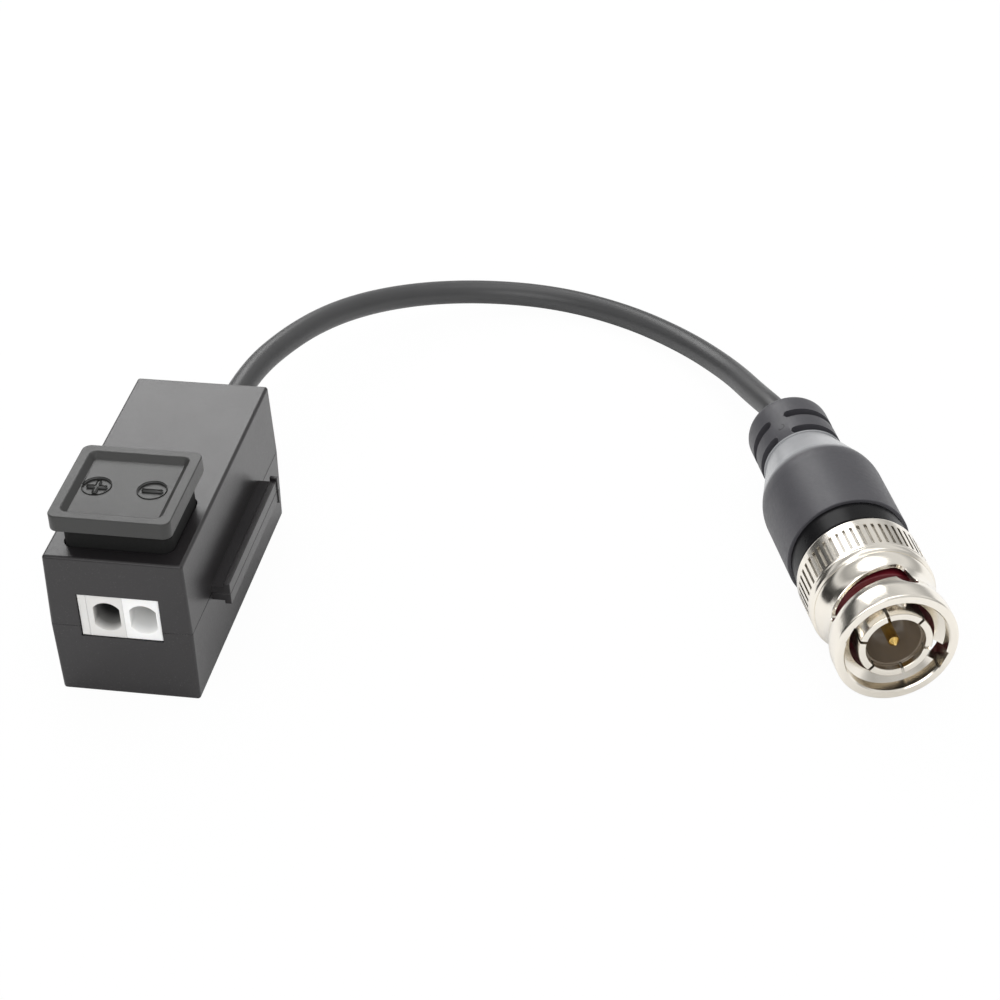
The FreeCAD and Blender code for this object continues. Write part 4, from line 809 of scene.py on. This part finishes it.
class BALUN_OT_boot(bpy.types.Operator):
    """Models the moulded boot with its nose, lip, shoulder and grip grooves"""

    bl_idname = "balun.boot"
    bl_label = "Plug boot"

    def execute(self, context):
        settings = context.scene.balun_plug
        piece = spin_profile("boot", self.outline(settings), BOOT_STEPS)
        leave_edit()
        for start in GRIP_GROOVES:
            for turn in (0, 180):
                cut_with(piece, self.groove_cutter(start + GROOVE_WIDTH / 2, GROOVE_RIB_ANGLE + turn))
        smooth(piece, 34)
        lay_in_plug(piece)
        vinyl = boot_vinyl("boot vinyl", settings.boot_colour, settings.cone_sheen_colour)
        give(piece, vinyl, "boot_vinyl", "housing", "plug_boot")
        nose = spin_profile("boot_nose", self.nose_outline(), BOOT_STEPS)
        leave_edit()
        smooth(nose, 34)
        lay_in_plug(nose)
        # Painted shade: the nose ring takes the boot's colour at a tenth of its level, for the shade between the lip
        # and the nut.
        gloss = soft_vinyl("nose vinyl", shade(settings.boot_colour, 0.10), 0.30, 0.1 * MM, 0.004 * MM, gloss=0.12)
        give(nose, gloss, "boot_vinyl", "housing", "plug_boot")
        return {"FINISHED"}

    @staticmethod
    def nose_outline():
        """The section of the smooth ring ahead of the lip, half covered by the nut."""
        bore, edge, back = 4.25 * MM, 0.15 * MM, BOOT_LIP + 0.2 * MM
        points = [(bore, BOOT_FRONT)]
        points += arc((FRONT_RADIUS - edge, BOOT_FRONT + edge), edge, -90, 0, 5)
        return points + [(FRONT_RADIUS, back), (bore, back)]

    @staticmethod
    def groove_cutter(height, rib_angle):
        """A bent bar with rounded ends, from one rib to the other, that sinks a groove in the collar."""
        half = GROOVE_WIDTH / 2
        reach = math.pi * COLLAR_RADIUS - GROOVE_RIB
        rings = []
        for number in range(GROOVE_RINGS + 1):
            gone = reach * number / GROOVE_RINGS
            to_end = min(gone, reach - gone)
            width = half if to_end > half else max((half * half - (half - to_end) ** 2) ** 0.5, 0.02 * MM)
            angle = math.radians(rib_angle) + (GROOVE_RIB / 2 + gone) / COLLAR_RADIUS
            inner, outer = COLLAR_RADIUS - GROOVE_DEPTH, COLLAR_RADIUS + MM
            rings.append([(radius * math.cos(angle), radius * math.sin(angle), height + side * width)
                          for radius, side in ((inner, -1), (outer, -1), (outer, 1), (inner, 1))])
        return closed_tube("groove_cutter", rings)

    @staticmethod
    def outline(settings):
        """The boot's section, from the lip over the outside to the cord."""
        body = settings.boot_radius
        bore, cord_bore, tail = 4.2 * MM, 1.62 * MM, 19.0 * MM
        points = [(bore, BOOT_LIP)]
        points += arc((body - 0.12 * MM, BOOT_LIP + 0.12 * MM), 0.12 * MM, -90, 0, 4)
        points += [(body, BOOT_LIP + 3 * MM), (body, BOOT_LIP + 6 * MM)]
        slope = math.atan2(SHOULDER_RADIUS - NECK_RADIUS, GRIP_GROOVES[0] - SHOULDER)
        bend = (SHOULDER - SHOULDER_START) / math.sin(slope)
        points += arc((body - bend, SHOULDER_START), bend, 0, math.degrees(slope), 10)
        points += [(NECK_RADIUS, GRIP_GROOVES[0] - 0.15 * MM), (COLLAR_RADIUS - 0.05 * MM, GRIP_GROOVES[0] - 0.1 * MM)]
        points += [(COLLAR_RADIUS, GRIP_GROOVES[0] - 0.02 * MM)]
        round_end = 1.7 * MM
        points += [(COLLAR_RADIUS, 40.0 * MM), (COLLAR_RADIUS, 43.4 * MM)]
        points += arc((COLLAR_RADIUS - round_end, BOOT_END_HEIGHT - round_end), round_end, 0, 90, 10)
        points += [(cord_bore, BOOT_END_HEIGHT), (cord_bore, tail), (bore, tail)]
        return points


# Coupling nut

NUT_LENGTH, NUT_BORE, NUT_CHAMBER = 15.25 * MM, 5.0 * MM, 6.2 * MM
MOUTH_RADIUS, MOUTH_DEPTH, MOUTH_SLOPE = 6.1 * MM, 1.5 * MM, 0.6 * MM
RIM_LENGTH, WAIST_PLACE, SHOULDER_PLACE = 2.3 * MM, 5.2 * MM, 9.6 * MM
KNURL_FRONT, KNURL_BACK = 10.0 * MM, 13.8 * MM
CHAMBER_FRONT = 10.2 * MM
RELIEF_FRONT, RELIEF_RADIUS = 4.9 * MM, 6.2 * MM
KNURL_FACES, GROOVE_FACES = 7, 3
SLOT_ANGLE, SLOT_SWEEP, SLOT_START, SLOT_RISE = -62.5, 78.5, 4.2 * MM, 1.55 * MM
DETENT_ANGLE, DETENT_PLACE = 82.5, 3.85 * MM
LUG_GROOVE_RADIUS = 6.3 * MM
RAMP = [(SLOT_SWEEP * number / 16, SLOT_RISE * number / 16) for number in range(17)]
SEAT = [(SLOT_SWEEP, SLOT_RISE), (DETENT_ANGLE, DETENT_PLACE - SLOT_START)]


class BALUN_OT_nut(bpy.types.Operator):
    """Models the coupling nut with its knurls, bayonet slots and lug grooves"""

    bl_idname = "balun.nut"
    bl_label = "Coupling nut"

    def execute(self, context):
        settings = context.scene.balun_plug
        steps = settings.knurls * KNURL_FACES
        piece = spin_profile("nut", self.outline(settings), steps)
        pitch = 360 / settings.knurls
        groove = GROOVE_FACES / KNURL_FACES
        choose_faces(piece, lambda middle, normal: (
            KNURL_FRONT < middle.z < KNURL_BACK and middle.xy.length > settings.nut_radius - 0.1 * MM
            and angle_of(middle) / pitch % 1 < groove
        ))
        bpy.ops.mesh.extrude_region_shrink_fatten(TRANSFORM_OT_shrink_fatten={"value": -settings.knurl_depth})
        leave_edit()
        for turn in (0, 180):
            cut_with(piece, self.slot_cutter(settings, SLOT_ANGLE + turn, RAMP))
            cut_with(piece, self.slot_cutter(settings, SLOT_ANGLE + turn, SEAT))
            cut_with(piece, self.lug_cutter(settings, SLOT_ANGLE + turn))
        smooth(piece, 28)
        lay_in_plug(piece)
        # Below this radius the knurl grooves get painted shade.
        floor = settings.nut_radius - settings.knurl_depth * 0.4
        nickel = plated_metal("nickel plating", settings.nickel_colour, 0.17, (floor, KNURL_FRONT, KNURL_BACK))
        give(piece, nickel, "nickel_plating", "nut", "coupling_nut")
        return {"FINISHED"}

    @staticmethod
    def outline(settings):
        """The nut's section: rim, waist and knurled band outside, then the bore with its chamber."""
        rim, waist, outer = settings.rim_radius, settings.waist_radius, settings.nut_radius
        edge = 0.3 * MM
        ring_front, ring_back, ring_floor = 12.95 * MM, 13.65 * MM, 6.6 * MM
        points = [(MOUTH_RADIUS + 0.15 * MM, 0.0)]
        points += arc((rim - edge, edge), edge, -90, 0, 6)
        points += [(rim, RIM_LENGTH - 0.2 * MM)]
        points += wave((rim, RIM_LENGTH - 0.2 * MM), (waist, WAIST_PLACE), 10)
        points += wave((waist, WAIST_PLACE + 0.9 * MM), (outer - 0.28 * MM, SHOULDER_PLACE - 1.2 * MM), 8)
        points += [(outer - 0.28 * MM, SHOULDER_PLACE - 0.9 * MM), (outer - 0.05 * MM, SHOULDER_PLACE - 0.75 * MM)]
        points += [(outer, SHOULDER_PLACE - 0.65 * MM), (outer, SHOULDER_PLACE - 0.05 * MM)]
        points += [(outer - 0.10 * MM, SHOULDER_PLACE + 0.08 * MM), (outer, SHOULDER_PLACE + 0.2 * MM)]
        points += [(outer, KNURL_FRONT + 0.1 * MM), (outer, KNURL_BACK)]
        points += [(outer, NUT_LENGTH - 0.55 * MM)]
        points += arc((outer - 0.5 * MM, NUT_LENGTH - 0.5 * MM), 0.5 * MM, 5, 90, 6)
        points += [(NUT_CHAMBER, NUT_LENGTH), (NUT_CHAMBER, ring_back), (ring_floor, ring_back)]
        points += [(ring_floor, ring_front), (NUT_CHAMBER, ring_front), (NUT_CHAMBER, CHAMBER_FRONT)]
        points += [(RELIEF_RADIUS, CHAMBER_FRONT), (RELIEF_RADIUS, RELIEF_FRONT)]
        points += [(NUT_BORE, RELIEF_FRONT), (NUT_BORE, MOUTH_DEPTH + MOUTH_SLOPE), (MOUTH_RADIUS, MOUTH_DEPTH)]
        points += [(MOUTH_RADIUS, 0.15 * MM)]
        return points

    @staticmethod
    def surface_radius(settings, height):
        """Rough outer radius of the nut where the slots are."""
        if height < WAIST_PLACE:
            share = min(max((height - RIM_LENGTH) / (WAIST_PLACE - RIM_LENGTH), 0), 1)
            return settings.rim_radius + (settings.waist_radius - settings.rim_radius) * share * share * (3 - 2 * share)
        front, back = WAIST_PLACE + 0.9 * MM, SHOULDER_PLACE - 1.2 * MM
        share = min(max((height - front) / (back - front), 0), 1)
        rise = settings.nut_radius - 0.28 * MM - settings.waist_radius
        return settings.waist_radius + rise * share * share * (3 - 2 * share)

    def slot_cutter(self, settings, turn, line):
        """A radial wall round the slot's outline, with its last stretch flared to break the edge."""
        half = settings.slot_width / 2
        flare = 0.08 * MM
        reach = settings.waist_radius
        flat = [Vector((math.radians(angle) * reach, height)) for angle, height in line]
        rim = outline_round(flat, half)
        wide = outline_round(flat, half + flare)
        rings = []
        for radius_rule, outline in (
            (lambda height: 3 * MM, rim),
            (lambda height: self.surface_radius(settings, height) - flare * 0.8, rim),
            (lambda height: self.surface_radius(settings, height) + flare * 0.3, wide),
            (lambda height: 30 * MM, wide),
        ):
            ring = []
            for point in outline:
                angle = math.radians(turn) + point.x / reach
                height = SLOT_START + point.y
                radius = radius_rule(height)
                ring.append((radius * math.cos(angle), radius * math.sin(angle), height))
            rings.append(ring)
        return closed_tube("slot_cutter", rings)

    @staticmethod
    def lug_cutter(settings, turn):
        """The groove along which a lug enters from the mouth to the slot."""
        bpy.ops.mesh.primitive_cube_add(size=1)
        cutter = bpy.context.object
        depth = SLOT_START + MM
        cutter.scale = (LUG_GROOVE_RADIUS - 4 * MM, settings.slot_width, depth)
        middle = (LUG_GROOVE_RADIUS + 4 * MM) / 2
        angle = math.radians(turn)
        cutter.location = (middle * math.cos(angle), middle * math.sin(angle), depth / 2 - MM)
        cutter.rotation_euler = (0, 0, angle)
        return cutter


def outline_round(line, half):
    """The outline of a band of a given half width along a line, with round ends."""
    left, right = [], []
    for number, point in enumerate(line):
        before = line[max(number - 1, 0)]
        after = line[min(number + 1, len(line) - 1)]
        along = (after - before).normalized()
        side = Vector((-along.y, along.x))
        left.append(point + side * half)
        right.append(point - side * half)
    outline = list(right)
    for centre, start in ((line[-1], right[-1]), (line[0], left[0])):
        spoke = start - centre
        for number in range(1, 12):
            angle = math.pi * number / 12
            turned = Vector((spoke.x * math.cos(angle) - spoke.y * math.sin(angle),
                             spoke.x * math.sin(angle) + spoke.y * math.cos(angle)))
            outline.append(centre + turned)
        if centre is line[-1]:
            outline += list(reversed(left))
    return outline


def closed_tube(name, rings):
    """A closed mesh through rings of as many points each."""
    count = len(rings[0])
    vertices = [place for ring in rings for place in ring]
    faces = []
    for level in range(len(rings) - 1):
        for number in range(count):
            here, there = level * count + number, level * count + (number + 1) % count
            faces.append((here, there, there + count, here + count))
    faces.append(tuple(reversed(range(count))))
    faces.append(tuple(range(len(vertices) - count, len(vertices))))
    mesh = bpy.data.meshes.new(name)
    mesh.from_pydata(vertices, [], faces)
    piece = bpy.data.objects.new(name, mesh)
    bpy.context.scene.collection.objects.link(piece)
    edit(piece)
    bpy.ops.mesh.select_all(action="SELECT")
    bpy.ops.mesh.quads_convert_to_tris()
    bpy.ops.mesh.normals_make_consistent(inside=False)
    leave_edit()
    return piece


# Contacts in the plug's mouth

class BALUN_OT_mouth(bpy.types.Operator):
    """Models the slotted outer contact, the insulator, the pin and the gasket"""

    bl_idname = "balun.mouth"
    bl_label = "Plug contacts"

    def execute(self, context):
        settings = context.scene.balun_plug
        contact_metal = plated_metal("contact nickel", settings.nickel_colour, 0.2)
        gold = plated_metal("gold plating", settings.gold_colour, 0.22)
        taupe = soft_vinyl("taupe insulator", (0.150, 0.118, 0.086), 0.2, 0.4 * MM, 0.002 * MM)
        red = soft_vinyl("red gasket", (0.115, 0.006, 0.012), 0.42)
        give(self.contact(), contact_metal, "contact_nickel", "housing", "outer_contact")
        give(self.insulator(), taupe, "taupe_insulator", "housing", "plug_insulator")
        give(self.pin(), gold, "gold_plating", "housing", "centre_pin")
        give(self.gasket(), red, "red_gasket", "housing", "plug_gasket")
        return {"FINISHED"}

    @staticmethod
    def contact():
        inner, outer, front, back = 3.5 * MM, 4.35 * MM, 0.5 * MM, 9.9 * MM
        slot_end, edge = front + 6 * MM, 0.12 * MM
        points = [(inner + edge, front)]
        points += arc((outer - edge, front + edge), edge, -90, 0, 4)
        points += [(outer - 0.06 * MM, slot_end), (outer, slot_end + MM), (outer, back), (inner, back)]
        points += [(inner, slot_end)]
        points += arc((inner + edge, front + edge), edge, 180, 260, 4)
        piece = spin_profile("contact_sleeve", points, 312)
        leave_edit()
        for number in range(6):
            bpy.ops.mesh.primitive_cube_add(size=1)
            cutter = bpy.context.object
            angle = math.radians(-13.5 + 60 * number)
            cutter.scale = (4 * MM, 0.35 * MM, 7 * MM)
            cutter.rotation_euler = (0, 0, angle)
            cutter.location = (4 * MM * math.cos(angle), 4 * MM * math.sin(angle), slot_end - 3.5 * MM)
            cut_with(piece, cutter)
        smooth(piece, 30)
        lay_in_plug(piece)
        return piece

    @staticmethod
    def insulator():
        """A dished core: a thin lining up to the mouth, which curves down to a floor round the pin."""
        outer, front, floor, back, hole = 3.47 * MM, 1.5 * MM, 4.6 * MM, 14.4 * MM, 0.72 * MM
        lining = outer - 0.25 * MM
        points = [(hole, floor + 0.1 * MM), (hole + 0.1 * MM, floor), (hole + 0.6 * MM, floor)]
        for number in range(1, 11):
            share = math.pi / 2 * number / 10
            points.append((hole + 0.6 * MM + (lining - hole - 0.6 * MM) * math.sin(share),
                           floor - (floor - front) * (1 - math.cos(share))))
        points += [(outer, front), (outer, back), (hole, back)]
        piece = spin_profile("insulator", points, 96)
        leave_edit()
        smooth(piece, 40)
        lay_in_plug(piece)
        return piece

    @staticmethod
    def pin():
        tip, radius, cone, tip_radius, back = 0.6 * MM, 0.675 * MM, 0.7 * MM, 0.2 * MM, 14.2 * MM
        points = arc((0, tip + tip_radius), tip_radius, -90, -20, 5)
        points += [(radius - 0.05 * MM, tip + cone - 0.1 * MM), (radius, tip + cone + 0.05 * MM), (radius, back)]
        points += [(0, back)]
        piece = spin_profile("pin", points, 64, closed=False)
        leave_edit()
        smooth(piece, 40)
        lay_in_plug(piece)
        return piece

    @staticmethod
    def gasket():
        inner, outer, front, back = 4.4 * MM, 5.68 * MM, 6.2 * MM, 8.9 * MM
        edge = 0.15 * MM
        points = [(inner, front)]
        points += arc((outer - edge, front + edge), edge, -90, 0, 4)
        points += arc((outer - edge, back - edge), edge, 0, 90, 4)
        points += [(inner, back)]
        piece = spin_profile("gasket", points, 120)
        leave_edit()
        smooth(piece, 40)
        lay_in_plug(piece)
        return piece


# Cord and its strain relief

class BALUN_OT_grommet(bpy.types.Operator):
    """Models the ribbed strain relief in the back wall"""

    bl_idname = "balun.grommet"
    bl_label = "Cord grommet"

    def execute(self, context):
        settings = context.scene.balun_cord
        piece = spin_profile("grommet", self.outline(), 96)
        leave_edit()
        smooth(piece, 34)
        take(piece)
        piece.matrix_world = Matrix.Translation((0, CASE_HALF_LENGTH, SEAM)) @ Matrix.Rotation(-math.pi / 2, 4, "X")
        bpy.ops.object.transform_apply(location=True, rotation=True, scale=True)
        vinyl = soft_vinyl("grommet vinyl", settings.colour, 0.45)
        give(piece, vinyl, "grommet_vinyl", "housing", "cord_grommet")
        return {"FINISHED"}

    @staticmethod
    def outline():
        """The grommet's section: lock, neck and flange, then a tapered stem with four shallow rings."""
        bore, lock, neck, flange = 1.62 * MM, 3.9 * MM, 2.8 * MM, 3.6 * MM
        wall_face, lock_face, play = -1.3 * MM, -2.3 * MM, 0.05 * MM
        root, tip, thick, reach = 2.7 * MM, 2.25 * MM, 0.8 * MM, 8.0 * MM
        edge = 0.2 * MM
        points = [(bore, lock_face), (lock, lock_face), (lock, wall_face), (neck, wall_face), (neck, play)]
        points += [(flange, play)] + arc((flange - edge, thick - edge), edge, 0, 90, 4)
        points += [(root, thick)]
        rings = 4
        stem = reach - thick
        groove, depth = 0.45 * MM, 0.3 * MM
        for number in range(rings):
            start = thick + stem * (number + 0.7) / (rings + 0.6)
            for height, sink in ((start, 0), (start + 0.08 * MM, depth), (start + groove, depth),
                                 (start + groove + 0.08 * MM, 0)):
                share = (height - thick) / stem
                points.append((root + (tip - root) * share - sink, height))
        points += arc((tip - edge, reach - edge), edge, 0, 90, 4)
        points += [(bore, reach)]
        return points


class BALUN_OT_cord(bpy.types.Operator):
    """Models the free cord along its route, from the grommet to the boot"""

    bl_idname = "balun.cord"
    bl_label = "Coax cord"

    def execute(self, context):
        settings = context.scene.balun_cord
        curve = bpy.data.curves.new("cord", "CURVE")
        curve.dimensions = "3D"
        curve.bevel_depth = settings.diameter / 2
        curve.bevel_resolution = 10
        curve.resolution_u = 24
        curve.use_fill_caps = True
        spline = curve.splines.new("NURBS")
        spline.points.add(len(CORD_ROUTE) - 1)
        for point, place in zip(spline.points, CORD_ROUTE):
            point.co = (*place, 1)
        spline.order_u = 3
        spline.use_endpoint_u = True
        piece = bpy.data.objects.new("cord", curve)
        context.scene.collection.objects.link(piece)
        give(piece, soft_vinyl("cord jacket", settings.colour, 0.40, 0.3 * MM, 0.003 * MM), "cord_jacket", "housing", "coax_cord")
        on_cord = ["grommet", "boot", "nut", "contact_sleeve", "insulator", "pin", "gasket"]
        on_cord += ["cord_end_in_housing", "cord_end_in_plug", "crimp_ferrule", "plug_body", "wave_washer",
                    "thrust_washer", "snap_ring"]
        return {"FINISHED"}


# Stage

class BALUN_OT_stage(bpy.types.Operator):
    """Makes the floor, the studio light and the camera"""

    bl_idname = "balun.stage"
    bl_label = "Stage"

    def execute(self, context):
        settings = context.scene.balun_stage
        self.floor(settings)
        self.light_all_round(context, settings)
        middle = Vector((0.045, 0.02, 0.008))
        self.softbox("back_light", (-0.108, 0.278, 0.205), Vector((0, 0.004, 0.019)), (0.19, 0.15), settings.back)
        self.softbox("top_light", (0.08, 0.12, 0.62), middle, (0.50, 0.40), settings.top)
        self.softbox("front_light", (0.02, -0.58, 0.44), middle, (0.50, 0.36), settings.front)
        self.camera(context)
        context.scene.view_settings.view_transform = "Standard"
        return {"FINISHED"}

    @staticmethod
    def floor(settings):
        bpy.ops.mesh.primitive_plane_add(size=settings.floor)
        floor = bpy.context.object
        floor.name = "floor"
        material, finish = new_finish("white floor")
        seen = finish.add("LightPath", outlet="Is Camera Ray")
        lit = finish.add("BsdfDiffuse", {}, {"Color": (0.86, 0.86, 0.86)})
        glow = finish.add("Emission", {}, {"Color": (1, 1, 1), "Strength": 1.0})
        mixed = finish.add("MixShader", {}, {0: seen * 0.97, 1: lit, 2: glow})
        finish.add("OutputMaterial", {}, {"Surface": mixed})
        floor.data.materials.append(material)

    @staticmethod
    def light_all_round(context, settings):
        """White for the camera, dark and bright bands for gloss, and a plain level for the rest."""
        world = bpy.data.worlds.new("studio")
        context.scene.world = world
        finish = Finish(world)
        path = finish.tree.nodes.new("ShaderNodeLightPath")
        camera = Signal(finish.tree, path.outputs["Is Camera Ray"])
        glossy = Signal(finish.tree, path.outputs["Is Glossy Ray"])
        direction = finish.add("TexCoord", outlet="Generated")
        east, north, up = finish.parts(direction)
        height = up * 0.5 + 0.5
        sky = finish.ramp(height, (0.48, 0.45), (0.62, 0.72), (0.8, 1.05), (1.0, 1.15))
        plain = finish.ramp(height, (0.50, 0.85), (0.56, 0.62), (0.64, 0.78), (0.74, 1.05), (1.0, 0.95))
        dark = finish.ramp(height, (0.50, 0.75), (0.54, 0.10), (0.66, 0.08), (0.73, 1.05), (0.84, 0.45), (1.0, 0.9))
        west = finish.ramp(east * 0.5 + 0.5, (0.25, 1.0), (0.58, 0.12))
        bands = finish.mix(west, plain, dark)
        level = finish.mix(glossy, sky, bands)
        level = finish.mix(1 - settings.ambient, level, (0, 0, 0))
        level = finish.mix(camera, level, (1, 1, 1))
        shader = finish.add("Background", {}, {"Color": level, "Strength": 1.0})
        finish.add("OutputWorld", {}, {"Surface": shader})

    @staticmethod
    def softbox(name, place, target, size, power):
        light = bpy.data.lights.new(name, "AREA")
        light.shape = "RECTANGLE"
        light.size, light.size_y = size
        light.energy = power
        lamp = bpy.data.objects.new(name, light)
        bpy.context.scene.collection.objects.link(lamp)
        lamp.location = place
        lamp.rotation_euler = (target - lamp.location).to_track_quat("-Z", "Y").to_euler()

    @staticmethod
    def camera(context):
        data = bpy.data.cameras.new("camera")
        data.lens, data.sensor_width = CAMERA_LENS, CAMERA_SENSOR
        data.clip_start, data.clip_end = 0.01, 10
        camera = bpy.data.objects.new("camera", data)
        context.scene.collection.objects.link(camera)
        back = Vector((math.sin(CAMERA_YAW) * math.cos(CAMERA_PITCH), -math.cos(CAMERA_YAW) * math.cos(CAMERA_PITCH),
                       math.sin(CAMERA_PITCH)))
        right = back.cross(Vector((0, 0, -1))).normalized()
        up = back.cross(right)
        turn = Matrix.Rotation(CAMERA_ROLL, 3, back)
        axes = Matrix((turn @ right, turn @ up, back)).transposed()
        camera.matrix_world = Matrix.Translation(CAMERA_PLACE) @ axes.to_4x4()
        context.scene.camera = camera


STEPS = (BALUN_OT_housing, BALUN_OT_button, BALUN_OT_terminals, BALUN_OT_inside, BALUN_OT_boot, BALUN_OT_nut,
         BALUN_OT_mouth, BALUN_OT_grommet, BALUN_OT_cord, BALUN_OT_stage)


class BALUN_PT_panel(bpy.types.Panel):
    """Buttons for each step, in the order in which they run"""

    bl_label = "Video balun"
    bl_idname = "BALUN_PT_panel"
    bl_space_type = "VIEW_3D"
    bl_region_type = "UI"
    bl_category = "Balun"

    def draw(self, context):
        for step in STEPS:
            self.layout.operator(step.bl_idname)


GROUPS = {"balun_shell": ShellSettings, "balun_plug": PlugSettings, "balun_cord": CordSettings,
          "balun_stage": StageSettings}


def register():
    for group in GROUPS.values():
        bpy.utils.register_class(group)
    for step in STEPS:
        bpy.utils.register_class(step)
    bpy.utils.register_class(BALUN_PT_panel)
    for name, group in GROUPS.items():
        setattr(bpy.types.Scene, name, PointerProperty(type=group))


def unregister():
    for name in GROUPS:
        delattr(bpy.types.Scene, name)
    bpy.utils.unregister_class(BALUN_PT_panel)
    for step in reversed(STEPS):
        bpy.utils.unregister_class(step)
    for group in GROUPS.values():
        bpy.utils.unregister_class(group)


def main():
    register()
    bpy.ops.balun.housing()
    bpy.ops.balun.button()
    bpy.ops.balun.terminals()
    bpy.ops.balun.inside()
    bpy.ops.balun.boot()
    bpy.ops.balun.nut()
    bpy.ops.balun.mouth()
    bpy.ops.balun.grommet()
    bpy.ops.balun.cord()
    bpy.ops.balun.stage()
    clear_selection()


if __name__ == "__main__":
    main()
